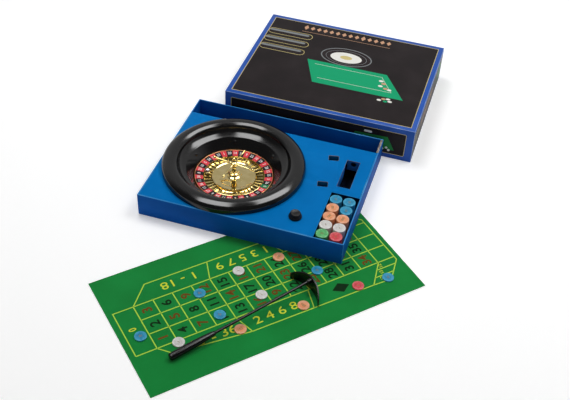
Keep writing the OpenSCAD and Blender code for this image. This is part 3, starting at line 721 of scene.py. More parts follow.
def stopUnit():
    # One moulded ball stop: a low lozenge with a ridge, lying on the slope
    p = bowlPlan
    fall = (p["trackZ"] - p["lipZ"]) / (p["trackR"] - p["wellR"] - p["lip"])
    bm = bmesh.new()
    rings = []
    for half, across, high in ((3.5, 2.6, 0.05), (3.2, 2.2, 1.0), (2.2, 1.0, 2.0), (1.4, 0.4, 2.25)):
        rings.append([bm.verts.new((half * math.cos(a), across * math.sin(a), high))
                      for a in (2 * math.pi * i / 20 for i in range(20))])
    for low, high in zip(rings, rings[1:]):
        for i in range(20):
            bm.faces.new((low[i], low[(i + 1) % 20], high[(i + 1) % 20], high[i]))
    bm.faces.new(rings[-1])
    bm.faces.new(reversed(rings[0]))
    place = Matrix.Translation((p["wellR"] + p["stopOut"], 0, p["lipZ"] + (p["stopOut"] - p["lip"]) * fall)) \
        @ Matrix.Rotation(-math.atan(fall), 4, "Y")
    bmesh.ops.transform(bm, matrix=place, verts=bm.verts)
    return fromBmesh("stopUnit", bm)


stops = copyMesh("ballStops", stopUnit(), {"Count": bowlPlan["stops"], "First angle": math.radians(bowlPlan["stopAngle"]),
                                           "Step angle": 2 * math.pi / bowlPlan["stops"], "Finish": bowlBlack})
finishPiece("ballStops", stops, wheelFrame, "wheel", [bowlBlack], ["ball_stops"], 40)
for node, finish in (("spindle", pinSteel), ("thrust_washer", nylon)):
    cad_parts[node].data.materials.clear()
    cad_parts[node].data.materials.append(finish)
print("bowl made")


rotorPlan = {
    "pockets": 37, "zeroAt": -9.73, "radius": 74, "trim": 1.2, "ringZ": -20.7, "ringFall": 2.2, "ringIn": 58,
    "ringThick": 0.8, "pocketOut": 57.2, "pocketIn": 42, "pocketZ": -28.5, "dishZ": -24, "hubZ": -22,
    "disc": 1.6, "footR": 13, "bushR": 4.52, "hubR": 8, "hubLow": -31, "fretHigh": 3, "fretThick": 0.9,
    "numberHigh": 6.2, "numberAt": 66,
}
wheelOrder = [0, 32, 15, 19, 4, 21, 2, 25, 17, 34, 6, 27, 13, 36, 11, 30, 8, 23, 10, 5, 24, 16, 33, 1, 20, 14, 31, 9,
              22, 18, 29, 7, 28, 12, 35, 3, 26]


def rotorDisc():
    p = rotorPlan
    under = p["ringThick"]
    return latheMesh("rotorDisc", [
        (p["radius"] - p["trim"], p["ringZ"] - under), (p["ringIn"], p["ringZ"] - p["ringFall"] - under),
        (p["ringIn"], p["ringZ"] - p["ringFall"] + 0.15), (p["ringIn"] - 0.3, p["ringZ"] - p["ringFall"] + 0.3),
        (p["pocketOut"] + 0.2, p["ringZ"] - p["ringFall"]), (p["pocketOut"], p["ringZ"] - p["ringFall"] - 0.4),
        (p["pocketOut"] - 0.4, p["pocketZ"] + 0.8), (p["pocketOut"] - 1.4, p["pocketZ"]),
        (p["pocketIn"] + 1.2, p["pocketZ"]), (p["pocketIn"] + 0.2, p["pocketZ"] + 0.6),
        (p["pocketIn"] - 0.5, p["dishZ"] + 0.2), (p["pocketIn"] - 1.0, p["dishZ"] + 0.7),
        (p["pocketIn"] - 1.7, p["dishZ"] + 0.8), (p["pocketIn"] - 2.4, p["dishZ"] + 0.4),
        (p["pocketIn"] - 3.2, p["dishZ"]), (p["pocketIn"] - 14, p["dishZ"] + 0.5),
        (p["footR"] + 6, p["hubZ"] - 0.7), (p["footR"] + 2, p["hubZ"]),
        (p["bushR"], p["hubZ"]), (p["bushR"], p["hubLow"]), (p["hubR"], p["hubLow"]), (p["hubR"], p["hubZ"] - p["disc"]),
        (p["pocketIn"] - 3.6, p["dishZ"] - p["disc"]), (p["pocketIn"] - 2, p["pocketZ"] - p["disc"]),
        (p["pocketOut"] + p["disc"], p["pocketZ"] - p["disc"]),
        (p["pocketOut"] + p["disc"], p["ringZ"] - p["ringFall"] - under - p["disc"]),
        (p["radius"] - p["trim"], p["ringZ"] - under - p["disc"])], 148, True)


finishPiece("rotorDisc", rotorDisc(), wheelFrame, "rotor", [goldPlate], ["rotor_disc"], 30)


def fretUnit():
    p = rotorPlan
    bm = bmesh.new()
    inner, outer, half = p["pocketIn"] + 0.4, p["pocketOut"] - 0.4, p["fretThick"] / 2
    low, top = p["pocketZ"], p["pocketZ"] + p["fretHigh"]
    section = [(-half, low), (half, low), (half, top - 0.5), (half * 0.4, top), (-half * 0.4, top), (-half, top - 0.5)]
    ends = [[bm.verts.new((x, y, z)) for y, z in section] for x in (inner, outer)]
    for i in range(6):
        bm.faces.new((ends[0][i], ends[0][(i + 1) % 6], ends[1][(i + 1) % 6], ends[1][i]))
    bm.faces.new(ends[0])
    bm.faces.new(ends[1])
    bmesh.ops.recalc_face_normals(bm, faces=bm.faces)
    return fromBmesh("fretUnit", bm)


step = 2 * math.pi / rotorPlan["pockets"]
zeroAngle = math.radians(rotorPlan["zeroAt"])
frets = copyMesh("pocketFrets", fretUnit(), {"Count": rotorPlan["pockets"], "First angle": zeroAngle + step / 2,
                                             "Step angle": step, "Finish": goldPlateBright})
finishPiece("pocketFrets", frets, wheelFrame, "rotor", [goldPlateBright], ["pocket_frets"])


def sectorMesh(indices, name):
    # Printed sectors of the number ring, each with a hairline gap to the next
    p = rotorPlan
    points, faces = [], []
    for k in indices:
        start, end = (zeroAngle - (k + s * 0.475) * step for s in (1, -1))
        first, parts = len(points), 6
        for level in (0, -p["ringThick"]):
            for j in range(parts + 1):
                a = start + (end - start) * j / parts
                for r, z in ((p["radius"] - p["trim"] - 0.05, p["ringZ"]), (p["ringIn"] + 0.25, p["ringZ"] - p["ringFall"] + 0.02)):
                    points.append((r * math.cos(a), r * math.sin(a), z + level))
        low = 2 * (parts + 1)
        for j in range(parts):
            a, b, c, d = (first + 2 * j, first + 2 * j + 1, first + 2 * j + 3, first + 2 * j + 2)
            faces += [(a, b, c, d), (a + low, d + low, c + low, b + low), (a, d, d + low, a + low), (b, b + low, c + low, c)]
        faces += [(first, first + low, first + low + 1, first + 1),
                  (first + low - 2, first + low - 1, first + 2 * low - 1, first + 2 * low - 2)]
    mesh = meshFrom(name, points, faces)
    bm = bmesh.new()
    bm.from_mesh(mesh)
    bmesh.ops.recalc_face_normals(bm, faces=bm.faces)
    bm.to_mesh(mesh)
    bm.free()
    return mesh


def numberRing():
    p = rotorPlan
    count = p["pockets"]
    bed = latheMesh("ringBed", [(p["radius"] - p["trim"], p["ringZ"] - 0.1), (p["ringIn"], p["ringZ"] - p["ringFall"] - 0.1),
                                (p["ringIn"], p["ringZ"] - p["ringFall"] - p["ringThick"]),
                                (p["radius"] - p["trim"], p["ringZ"] - p["ringThick"])], 148, True)
    parts = [bed] + [sectorMesh(kind, "sectors") for kind in
                     ([0], [k for k in range(1, count) if k % 2], [k for k in range(1, count) if k % 2 == 0])]
    for index, mesh in enumerate(parts):
        for f in mesh.polygons:
            f.material_index = (2, 3, 1, 2)[index]
    return joinMeshes("numberRing", parts)


finishPiece("numberRing", numberRing(), wheelFrame, "rotor", [ringWhite, ringRed, ringBlack, ringGreen],
            ["number_ring"])


def ringNumbers():
    p, meshes = rotorPlan, []
    slope = math.atan2(p["ringFall"], p["radius"] - p["trim"] - p["ringIn"])
    for k, number in enumerate(wheelOrder):
        angle = zeroAngle - k * step
        z = p["ringZ"] - p["ringFall"] * (p["radius"] - p["trim"] - p["numberAt"]) / (p["radius"] - p["trim"] - p["ringIn"])
        place = Matrix.Rotation(angle, 4, "Z") @ Matrix.Translation((p["numberAt"], 0, z + 0.03)) \
            @ Matrix.Rotation(-slope, 4, "Y") @ Matrix.Rotation(math.radians(-90), 4, "Z")
        meshes.append(textMesh("number", str(number), p["numberHigh"], place, 0.08, 0.12, 0.85))
    return joinMeshes("ringNumbers", meshes)


finishPiece("ringNumbers", ringNumbers(), wheelFrame, "rotor", [ringWhite])


def trimProfile():
    p = rotorPlan
    low = p["ringZ"] - p["ringThick"] - p["disc"]
    inner = p["radius"] - p["trim"]
    return [(inner, low), (p["radius"], low), (p["radius"], p["ringZ"] + 0.2)] + \
        arcPoints((inner + p["radius"]) / 2, p["ringZ"] + 0.2, p["trim"] / 2, 0.5, 10, 170, 6) + [(inner, p["ringZ"] + 0.2)]


finishPiece("ringTrim", latheMesh("ringTrim", trimProfile(), 148, True), wheelFrame, "rotor", [trimCopper],
            ["ring_trim"], 40)
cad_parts["rotor_bush"].data.materials.clear()
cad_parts["rotor_bush"].data.materials.append(nylon)
print("rotor made")


turretPlan = {
    "footR": 13, "footZ": -22, "footTop": -14, "columnTop": 2.8, "armZ": 6, "reach": 42, "arm": 2.6, "knob": 4.4,
    "armAngle": -8.5, "bore": 2.8, "finialZ": 9.2, "finialTop": 19.7,
}


def turretParts():
    p = turretPlan
    base = [(p["bore"], p["footZ"]), (p["footR"], p["footZ"]), (p["footR"], p["footZ"] + 0.9), (12.4, -20.7), (10.6, -20.2),
            (9.4, -19.2), (8.6, -17.8), (8.1, -16.4), (7.9, -15.6), (7.1, -15.3), (6.4, -14.9), (6.2, -14.3), (6.0, p["footTop"]),
            (p["bore"], p["footTop"])]
    column = [(p["bore"], p["footTop"]), (5.0, p["footTop"]), (4.9, -13.5), (4.3, -12.6), (4.0, -11), (3.7, -6), (3.7, -3.6),
              (4.2, -2.6), (5.1, -1.6), (5.2, -1.0), (4.7, -0.3), (4.3, 0.4), (4.6, 1.4), (5.2, 2.2), (5.2, p["columnTop"]),
              (0, p["columnTop"])]
    hub = [(0, 2.8), (5.0, 2.8), (5.8, 3.2), (6.2, 3.9), (6.2, 7.9), (5.9, 8.5), (5.2, 9.0), (4.8, 9.2), (0, 9.2)]
    finial = [(0, 9.2), (4.6, 9.2), (4.5, 9.9), (3.4, 10.4), (2.5, 11.4), (1.9, 13.2), (1.8, 14.0), (2.3, 14.5)] + \
        arcPoints(0, p["finialTop"] - 2.8, 2.8, 2.8, -42, 84, 10) + [(0, p["finialTop"])]
    return base, column, hub, finial


baseProfile, columnProfile, hubProfile, finialProfile = turretParts()
for pieceName, profile, node in (("turretBase", baseProfile, "turret_base"), ("turretColumn", columnProfile, "turret_column"),
                                 ("turretHub", hubProfile, "turret_hub"), ("turretFinial", finialProfile, "turret_finial")):
    finishPiece(pieceName, latheMesh(pieceName, profile, 64, profile[0][0] > 0 and profile[-1][0] > 0), wheelFrame, "rotor",
                [goldPlateBright], [node], 40)


def armUnit(profile, name):
    mesh = latheMesh(name, profile, 24)
    mesh.transform(Matrix.Translation((0, 0, turretPlan["armZ"])) @ Matrix.Rotation(math.radians(90), 4, "Y"))
    return mesh


arm, knob, reach = turretPlan["arm"] / 2, turretPlan["knob"] / 2, turretPlan["reach"]
rodProfile = [(0, 5.9), (2.2, 5.9), (2.2, 7.2), (1.5, 7.8), (arm, 9), (arm * 0.85, 16), (arm * 0.8, 30), (arm, reach - knob - 2.4),
              (1.7, reach - knob - 1.6), (1.7, reach - knob - 0.9), (arm, reach - knob - 0.3), (arm, reach - knob + 0.4),
              (0, reach - knob + 0.4)]
knobProfile = [(0, reach - knob)] + [(r, x) for x, r in arcPoints(reach, 0, knob, knob, 172, 8, 12)] + [(0, reach + knob)]
for pieceName, profile, node in (("turretArms", rodProfile, "turret_arms"), ("turretKnobs", knobProfile, "turret_knobs")):
    made = copyMesh(pieceName, armUnit(profile, pieceName), {
        "Count": 4, "First angle": math.radians(turretPlan["armAngle"]), "Step angle": math.pi / 2, "Finish": goldPlateBright})
    finishPiece(pieceName, made, wheelFrame, "rotor", [goldPlateBright], [node], 40)
print("turret made")


def ballPiece():
    low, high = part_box("ball")
    bm = bmesh.new()
    bmesh.ops.create_icosphere(bm, subdivisions=4, radius=(high.z - low.z) / 2)
    bmesh.ops.translate(bm, verts=bm.verts, vec=(low + high) / 2)
    return fromBmesh("ball", bm)


finishPiece("ball", ballPiece(), Matrix.Identity(4), "ball", [ballSteel], ["ball"], 60)

markerPlan = {"radius": 12, "high": 11, "ribs": 24}
markerMid, markerLow, markerHigh = middle("marker")
markerFrame = placeAt(markerMid.x, markerMid.y, markerLow.z)
markerProfile = [(0, 0), (11.2, 0), (11.8, 0.3), (12, 0.9), (12, 3.0), (11.8, 3.6), (11.2, 4.1), (10.7, 4.6), (9.2, 9.6),
                 (8.9, 10.4), (8.3, 10.9), (7.6, 11), (6.9, 10.8), (6.3, 10.4), (0, 10.3)]
markerBody = latheMesh("marker", markerProfile, 72)
ribUnit = boxMesh("rib", (-0.4, -0.5, 0), (0.45, 0.5, 5.6), 0.2, 1)
ribUnit.transform(Matrix.Translation((10.45, 0, 4.4)) @ Matrix.Rotation(math.radians(-16), 4, "Y"))
ribs = copyMesh("markerRibs", ribUnit, {"Count": markerPlan["ribs"], "Step angle": 2 * math.pi / markerPlan["ribs"],
                                        "Finish": markerBlack})
finishPiece("marker", joinMeshes("marker", [markerBody, ribs]), markerFrame, "marker", [markerBlack],
            ["marker"], 40)
print("ball and marker made")


chipPlan = {"count": 16, "gap": 0.05, "jitter": 0.07, "rim": 2.9, "sunk": 0.25, "markHigh": 4.6}
stackColours = ["green", "white", "orange", "orange", "blue", "red", "white", "orange", "blue", "blue"]
matChips = ["orange", "white", "blue", "blue", "white", "red", "orange", "blue", "orange", "blue", "white", "blue"]
chipWorth = {"white": "1", "red": "5", "blue": "10", "green": "25", "orange": "100"}


def chipBody(radius, thick, steps):
    r, t, rim, sunk = radius, thick, chipPlan["rim"], chipPlan["sunk"]
    return latheMesh("chip", [(0, sunk), (r - rim + 0.3, sunk), (r - rim, 0.03), (r - 0.6, 0), (r - 0.2, 0.15), (r, 0.5), (r, t - 0.5),
                              (r - 0.2, t - 0.15), (r - 0.6, t), (r - rim, t - 0.03), (r - rim + 0.3, t - sunk), (0, t - sunk)],
                     steps)


def chipFace(kind, radius, thick):
    # Face of a chip: moulded rim and a bead round the middle, in a paler copy of the plastic as painted highlight, and
    # its plain number
    t, inner = thick, radius - chipPlan["rim"]
    rim = latheMesh("rim", [(inner + 0.2, t - 0.04), (radius - 0.55, t - 0.04), (radius - 0.7, t + 0.02), (inner + 0.4, t + 0.02)],
                    48, True)
    bead = latheMesh("bead", [(inner - 1.3, t - 0.27), (inner - 0.6, t - 0.27), (inner - 0.75, t - 0.12), (inner - 1.15, t - 0.12)],
                     40, True)
    mark = textMesh("mark", chipWorth[kind], chipPlan["markHigh"], Matrix.Translation((0, 0, t - 0.26)), 0.12, 0.1)
    return joinMeshes("chipFace", [rim, bead]), mark


def chipPieces(name, kind, spot, body, node, count):
    low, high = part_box(node)
    radius = (high.x - low.x) * 500
    pitch = ((high.z - low.z) * 1000 + chipPlan["gap"]) / count
    thick, slotName, seed = pitch - chipPlan["gap"], "chip_" + kind, sum(map(ord, name))
    values = {"Count": count, "Rise": pitch, "Jitter": chipPlan["jitter"] if count > 1 else 0.0,
              "Jitter turn": 6.0, "Seed": seed, "Finish": chipFinish[kind]}
    disc = chipBody(radius - (chipPlan["jitter"] if count > 1 else 0), thick, 40 if count > 1 else 64)
    finishPiece(name, copyMesh(name, disc, values), spot, body, [chipFinish[kind]], [node], 35)
    relief, mark = chipFace(kind, radius - 0.1, thick)
    top = Matrix.Translation((0, 0, pitch * (count - 1))) @ Matrix.Rotation(seed * 0.7, 4, "Z")
    for ending, mesh, finish in (("Face", relief, chipRelief[kind]), ("Mark", mark, chipMark)):
        mesh.transform(top)
        finishPiece(name + ending, mesh, spot, body, [finish])


for index, kind in enumerate(stackColours):
    node = f"stack_{index + 1}"
    centre, low, _ = middle(node)
    chipPieces(f"stack{index + 1}", kind, placeAt(centre.x, centre.y, low.z), node, node, chipPlan["count"])
for index, kind in enumerate(matChips):
    node = f"chip_{index + 1}"
    centre, low, _ = middle(node)
    chipPieces(f"chip{index + 1}", kind, placeAt(centre.x, centre.y, low.z), node, node, 1)
print("chips made")


matPlan = {
    "length": 510, "width": 264, "thick": 1, "cell": 35, "row": 32.7, "gridLeft": -208, "gridRight": 212, "columnEnd": 246,
    "line": 1.8, "ink": 0.08, "digit": 17, "word": 17, "seed": 7,
}


def matSheet():
    # Felt, cut with a knife: corners hardly rounded, edge a little uneven
    p = matPlan
    random.seed(p["seed"])
    l, w = p["length"] / 2, p["width"] / 2
    nx, ny = 102, 54
    bm = bmesh.new()
    grid = [[bm.verts.new((-l + 2 * l * i / nx, -w + 2 * w * j / ny, 0)) for j in range(ny + 1)] for i in range(nx + 1)]
    for i in range(nx):
        for j in range(ny):
            bm.faces.new((grid[i][j], grid[i + 1][j], grid[i + 1][j + 1], grid[i][j + 1]))
    for i in range(nx + 1):
        for j in range(ny + 1):
            v = grid[i][j]
            if i in (0, nx):
                v.co.x -= math.copysign(random.uniform(0, 0.25), v.co.x)
            if j in (0, ny):
                v.co.y -= math.copysign(random.uniform(0, 0.25), v.co.y)
    made = fromBmesh("layoutMat", bm)
    holder = bpy.data.objects.new("matHolder", made)
    scene.collection.objects.link(holder)
    solid = holder.modifiers.new("thick", "SOLIDIFY")
    solid.thickness, solid.offset = p["thick"], -1
    graph = bpy.context.evaluated_depsgraph_get()
    mesh = bpy.data.meshes.new_from_object(holder.evaluated_get(graph))
    bpy.data.objects.remove(holder)
    return mesh


mat = finishPiece("layoutMat", matSheet(), matFrame, "mat", [felt], ["mat"])


def matLines():
    p, parts = matPlan, []
    left, right, end, row = p["gridLeft"], p["gridRight"], p["columnEnd"], p["row"]
    high = row * 1.5

    def line(*points):
        parts.append(stripMesh("line", points, p["line"], p["ink"]))

    line((left - 36, -high), (left - 36, high), (left, high), (left, -high), (left - 36, -high))
    line((left, high), (end, high), (end, -high), (left, -high))
    for k in (-0.5, 0.5):
        line((left, row * k), (end, row * k))
    for k in range(1, 13):
        line((left + p["cell"] * k, -high), (left + p["cell"] * k, high))
    line((left, high), (left + 36, 88), (-55, 88), (60, 88), (176, 90), (211, 92), (end, 57), (end, high))
    line((-68, high), (-55, 88))
    line((77, high), (60, 88))
    line((left, -high), (-190, -69), (-57, -87), (58, -89), (176, -91), (211, -93), (end, -57), (end, -high))
    line((-68, -high), (-57, -87))
    line((69, -high), (58, -89))
    line((213, -high), (176, -91))
    line((213, high), (176, 90))
    for s in (1, -1):
        for share in (0.36, 0.7):
            x0, y0 = 213 + (176 - 213) * share, high + (90.5 - high) * share
            x1 = end - (y0 - 57) if y0 > 57 else end
            line((x0, s * y0), (x1, s * y0))
    return joinMeshes("matLines", parts)


finishPiece("matLines", matLines(), matFrame, "mat", [feltYellow])


def diamond(cx, cy, long, wide):
    return [(cx - long, cy), (cx, cy - wide), (cx + long, cy), (cx, cy + wide)]


def matNumbers():
    p = matPlan
    redNumbers = {1, 3, 5, 7, 9, 12, 14, 16, 18, 19, 21, 23, 25, 27, 30, 32, 34, 36}
    reds, blacks, yellows = [], [], []
    for number in range(1, 37):
        column, rowIndex = divmod(number - 1, 3)
        place = turnedAt(p["gridLeft"] + p["cell"] * (column + 0.5), p["row"] * (rowIndex - 1), 0, 90)
        (reds if number in redNumbers else blacks).append(
            textMesh("digit", str(number), p["digit"], place, p["ink"], 0.55, 1.05))
    yellows.append(textMesh("zero", "0", 13, turnedAt(-228, 4, 0, 90), p["ink"], 0.3, 0.8))
    for words, x, y, turn in (("1 - 18", -118, 69, 180), ("1 3 5 7 9", 3, 69, 180), ("19 - 36", -116, -68, 0),
                              ("2 4 6 8", -4, -69, 0)):
        yellows.append(textMesh("figures", words, p["word"], turnedAt(x, y, 0, turn), p["ink"], 0.05, 1.25))
    for s in (1, -1):
        for x, y in ((211, s * 57), (205, s * 70.5), (198, s * 83)):
            yellows.append(textMesh("twelve", "12", 6.5, turnedAt(x, y, 0, 90), p["ink"], 0.1))
    blacks.append(cutSheet("blackDiamond", [diamond(122, -70, 17, 11)], 0, p["ink"]))
    reds.append(cutSheet("redDiamond", [diamond(122, 70, 17, 11)], 0, p["ink"]))
    return joinMeshes("reds", reds), joinMeshes("blacks", blacks), joinMeshes("yellows", yellows)


for pieceName, mesh, finish in zip(("matRedNumbers", "matBlackNumbers", "matYellowNumbers"), matNumbers(),
                                   (feltRed, feltBlack, feltDigitYellow)):
    finishPiece(pieceName, mesh, matFrame, "mat", [finish])
print("mat made")


rakePlan = {
    "head": (76.2, -49), "turn": 6.4, "length": 278, "shaft": 5, "grip": 13, "gripLong": 84, "axisZ": 6.8, "headZ": 22,
    "bladeR": 62, "bladeHalf": 41, "bladeHigh": 29, "bladeTip": 13, "bladeThick": 3,
}
rakeFrame = matFrame @ Matrix.Translation((rakePlan["head"][0], rakePlan["head"][1], 0)) \
    @ Matrix.Rotation(math.radians(rakePlan["turn"]), 4, "Z") @ Matrix.Translation((-rakePlan["length"], 0, 0))
rakeRun = rakePlan["length"] - rakePlan["bladeThick"]
rakeSlope = math.atan2(rakePlan["headZ"] - rakePlan["axisZ"], rakeRun)
rakeLine = rakeFrame @ Matrix.Translation((0, 0, rakePlan["axisZ"])) @ Matrix.Rotation(math.pi / 2 - rakeSlope, 4, "Y")
shaftEnd = rakeRun / math.cos(rakeSlope)                           # where the shaft meets the blade, along the shaft
gripProfile = [(0, 0), (3.6, 0), (4.9, 0.3), (5.8, 1.0), (6.3, 2.0), (6.5, 3.4), (6.5, 30), (6.3, 46), (5.6, 62), (4.8, 73), (4.2, 80),
               (3.7, 83.4), (3.2, 84), (2.52, 84), (2.52, 54), (0, 54)]
shaftProfile = [(0, 54), (2.5, 54), (2.5, 270), (2.5, shaftEnd + 0.9), (0, shaftEnd + 0.9)]
finishPiece("rakeGrip", latheMesh("rakeGrip", gripProfile, 56), rakeLine, "rake", [rakeBlack],
            ["rake_grip"], 40)
finishPiece("rakeShaft", latheMesh("rakeShaft", shaftProfile, 32), rakeLine, "rake", [rakeBlack],
            ["rake_shaft"], 40)


def rakeBlade():
    # Curved plate, highest at its middle, lower and thinner towards its tips, with a bead along its top
    p = rakePlan
    bm = bmesh.new()
    steps, rings = 48, []
    reach = p["bladeR"] * math.sin(math.radians(p["bladeHalf"]))
    rise = p["bladeHigh"] - p["bladeTip"]
    archR = (reach ** 2 + rise ** 2) / (2 * rise)
    for i in range(steps + 1):
        share = -1 + 2 * i / steps
        a = math.radians(p["bladeHalf"]) * share
        across = p["bladeR"] * math.sin(a)
        tall = p["bladeHigh"] - archR + math.sqrt(max(0, archR ** 2 - across ** 2))
        thick = p["bladeThick"] * (1 - 0.3 * abs(share) ** 3)
        if i in (0, steps):
            tall, thick = tall - 1.2, thick * 0.55
        r = p["bladeR"] - (p["bladeThick"] - thick) / 2
        section = [(r - thick, 0.6), (r - thick + 0.5, 0), (r - 0.5, 0), (r, 0.6), (r, tall - 1.0), (r - 0.35, tall - 0.3),
                   (r - thick / 2, tall), (r - thick + 0.35, tall - 0.3), (r - thick, tall - 1.0)]
        rings.append([bm.verts.new((q * math.cos(a), q * math.sin(a), z)) for q, z in section])
    for one, two in zip(rings, rings[1:]):
        for j in range(len(one)):
            k = (j + 1) % len(one)
            bm.faces.new((one[j], one[k], two[k], two[j]))
    bm.faces.new(rings[0])
    bm.faces.new(rings[-1])
    bmesh.ops.translate(bm, verts=bm.verts, vec=(p["length"] - p["bladeR"], 0, 0))
    bmesh.ops.recalc_face_normals(bm, faces=bm.faces)
    blade = fromBmesh("rakeBlade", bm)
    boss = latheMesh("boss", [(0, shaftEnd - 8), (3.6, shaftEnd - 8), (4.3, shaftEnd - 7.5), (4.5, shaftEnd - 6.6),
                              (4.5, shaftEnd + 0.8), (0, shaftEnd + 0.8)], 32)
    boss.transform(rakeFrame.inverted() @ rakeLine)
    return joinMeshes("rakeBlade", [blade, boss])


finishPiece("rakeBlade", rakeBlade(), rakeFrame, "rake", [rakeBlack], ["rake_blade"], 40)
print("rake made")


lidPlan = {"width": 390, "depth": 318, "high": 75.7, "board": 2, "border": 10, "ink": 0.06}
lidBox = openBox("lid", lidPlan["width"], lidPlan["depth"], lidPlan["high"], lidPlan["board"], 0.8)
lidBox.transform(Matrix.Translation((0, 0, lidPlan["high"])) @ Matrix.Rotation(math.pi, 4, "X"))
for f in lidBox.polygons:
    inside = abs(f.center.x) < lidPlan["width"] / 2 - 1.5 and abs(f.center.y) < lidPlan["depth"] / 2 - 1.5
    if inside and f.center.z < lidPlan["high"] - 1:
        f.material_index = 2
finishPiece("lid", lidBox, lidFrame, "lid", [lidBlue, lidEdgeWearHighlight, lidInside], ["lid"], 35)


def faceFrame(side):
    # Frame of a face of the lid: x to the right as it is seen, y up, z outwards
    w, d, h = lidPlan["width"] / 2, lidPlan["depth"] / 2, lidPlan["high"]
    upright = Matrix.Rotation(math.radians(90), 4, "X")
    if side == "top":
        return Matrix.Translation((0, 0, h))
    if side == "front":
        return Matrix.Translation((0, -d, h / 2)) @ upright
    if side == "right":
        return Matrix.Translation((w, 0, h / 2)) @ Matrix.Rotation(math.radians(90), 4, "Z") @ upright
    if side == "back":
        return Matrix.Translation((0, d, h / 2)) @ Matrix.Rotation(math.radians(180), 4, "Z") @ upright
    return Matrix.Translation((-w, 0, h / 2)) @ Matrix.Rotation(math.radians(-90), 4, "Z") @ upright


lidPrint = {"field": [], "gold": [], "copper": [], "green": [], "darkGreen": [], "white": [], "grey": [], "black2": []}


def ink(kind, mesh, side, level=0.0):
    mesh.transform(faceFrame(side) @ Matrix.Translation((0, 0, level * lidPlan["ink"])))
    lidPrint[kind].append(mesh)


def flat(outline, holes=()):
    return cutSheet("ink", [outline] + [h[::-1] for h in holes], 0, lidPlan["ink"])


def ringLine(outline, width):
    return stripMesh("ink", outline, width, lidPlan["ink"], True)


topW, topD = lidPlan["width"] / 2 - lidPlan["border"], lidPlan["depth"] / 2 - lidPlan["border"]
ink("field", flat(rectangle(-topW, -topD, topW, topD)), "top")
ink("gold", ringLine(rectangle(-topW + 0.6, -topD + 0.6, topW - 0.6, topD - 0.6), 1.3), "top", 1)


def titleRow():
    # Row of lozenges over a rule, where a title would stand
    for k in range(14):
        ink("copper", flat(diamond(-108 + 14.3 * k, 131, 5.2, 9.5 if k in (0, 9) else 7.5)), "top", 1)
    ink("copper", stripMesh("ink", [(-114, 114), (84, 114)], 0.9, lidPlan["ink"]), "top", 1)


def pillBars():
    for k in range(3):
        y = 94 - 32 * k
        ink("gold", ringLine(rounded(-topW + 1.5, y - 10.5, -topW + 100, y + 10.5, 10.3), 1.2), "top", 1)
        ink("grey", flat(rounded(-topW + 3, y + 0.8, -topW + 92, y + 7.6, 3.2)), "top", 1)
        ink("black2", flat(rounded(-topW + 3, y - 8.2, -topW + 92, y + 0.2, 3.2)), "top", 1)


def oval(cx, cy, rx, ry, steps=64):
    return [(cx + rx * math.cos(2 * math.pi * i / steps), cy + ry * math.sin(2 * math.pi * i / steps)) for i in range(steps)]


def medallion():
    # A plain oval medallion in place of the picture
    cx, cy = 4, 46
    ink("black2", flat(oval(cx, cy, 54, 32)), "top", 1)
    ink("grey", ringLine(oval(cx, cy, 54, 32), 2.2), "top", 2)
    ink("grey", ringLine(oval(cx, cy - 1, 44, 25), 0.8), "top", 2)
    ink("white", flat(oval(cx, cy - 2, 34, 19)), "top", 2)
    ink("gold", flat(oval(cx, cy - 2, 13, 7, 32)), "top", 3)


def greenPanel():
    ink("green", flat([(-72, 12), (100, 12), (150, -66), (-40, -66)]), "top", 1)
    for points in (((-52, 0), (92, 0)), ((92, 0), (122, -48)), ((122, -48), (-34, -48))):
        ink("white", stripMesh("ink", list(points), 0.8, lidPlan["ink"]), "top", 2)
    for x, y, kind in ((94, -14, "white"), (101, -22, "copper"), (96, -32, "white"), (108, -38, "copper"), (116, -40, "white")):
        ink(kind, flat(oval(x, y, 5, 3.4, 24)), "top", 3)
    for x, y, kind in ((112, -74, "copper"), (121, -72, "white"), (117, -81, "green"), (126, -79, "white"), (104, -80, "white")):
        ink(kind, flat(oval(x, y, 4.6, 3.2, 24)), "top", 2)


def lidWalls():
    w, d, h = lidPlan["width"] / 2, lidPlan["depth"] / 2, lidPlan["high"] / 2
    for side, half in (("front", w), ("back", w), ("right", d), ("left", d)):
        if side in ("front", "back"):
            outline = rounded(-half + 13, -h + 11, half - 16, h - 12, 3)
            ink("field", flat(outline), side)
            ink("gold", ringLine(outline, 1.1), side, 1)
            ink("darkGreen", flat([(half - 130, -h + 22), (half - 36, -h + 20), (half - 52, h - 26), (half - 118, h - 28)]), side, 1)
            for x, y in ((half - 60, -h + 20), (half - 52, -h + 24), (half - 47, -h + 19)):
                ink("white", flat(circle(x, y, 2.6, 20)), side, 2)
            ink("white", flat(rounded(half - 100, h - 24, half - 84, h - 19, 2.2)), side, 1)
        else:
            outline = rectangle(-half + 3, -h + 3, half - 8, h - 11)
            ink("field", flat(outline), side)
            ink("gold", ringLine(outline, 1.0), side, 1)
            ink("darkGreen", flat([(half - 60, -h + 20), (half - 14, -h + 20), (half - 14, h - 20), (half - 46, h - 18)]), side, 1)
            ink("gold", ringLine(rounded(-half + 10, h - 40, -half + 62, h - 24, 4), 1.1), side, 1)
            ink("grey", flat(rounded(-half + 13, h - 34, -half + 58, h - 29, 2)), side, 1)
            for k in range(10):
                ink("copper", flat(diamond(-half + 84 + 13.5 * k, 2, 4.6, 8.5)), side, 1)


titleRow()
pillBars()
medallion()
greenPanel()
lidWalls()
for kind, finish in (("field", lidField), ("gold", goldInk), ("copper", copperInk), ("green", greenInk),
                     ("darkGreen", darkGreenInk), ("white", whiteInk), ("grey", greyInk), ("black2", ringBlack)):
    pieceName = "lidPrint" + kind[0].upper() + kind[1:]
    finishPiece(pieceName, joinMeshes(pieceName, lidPrint[kind]), lidFrame, "lid", [finish])
print("lid made")


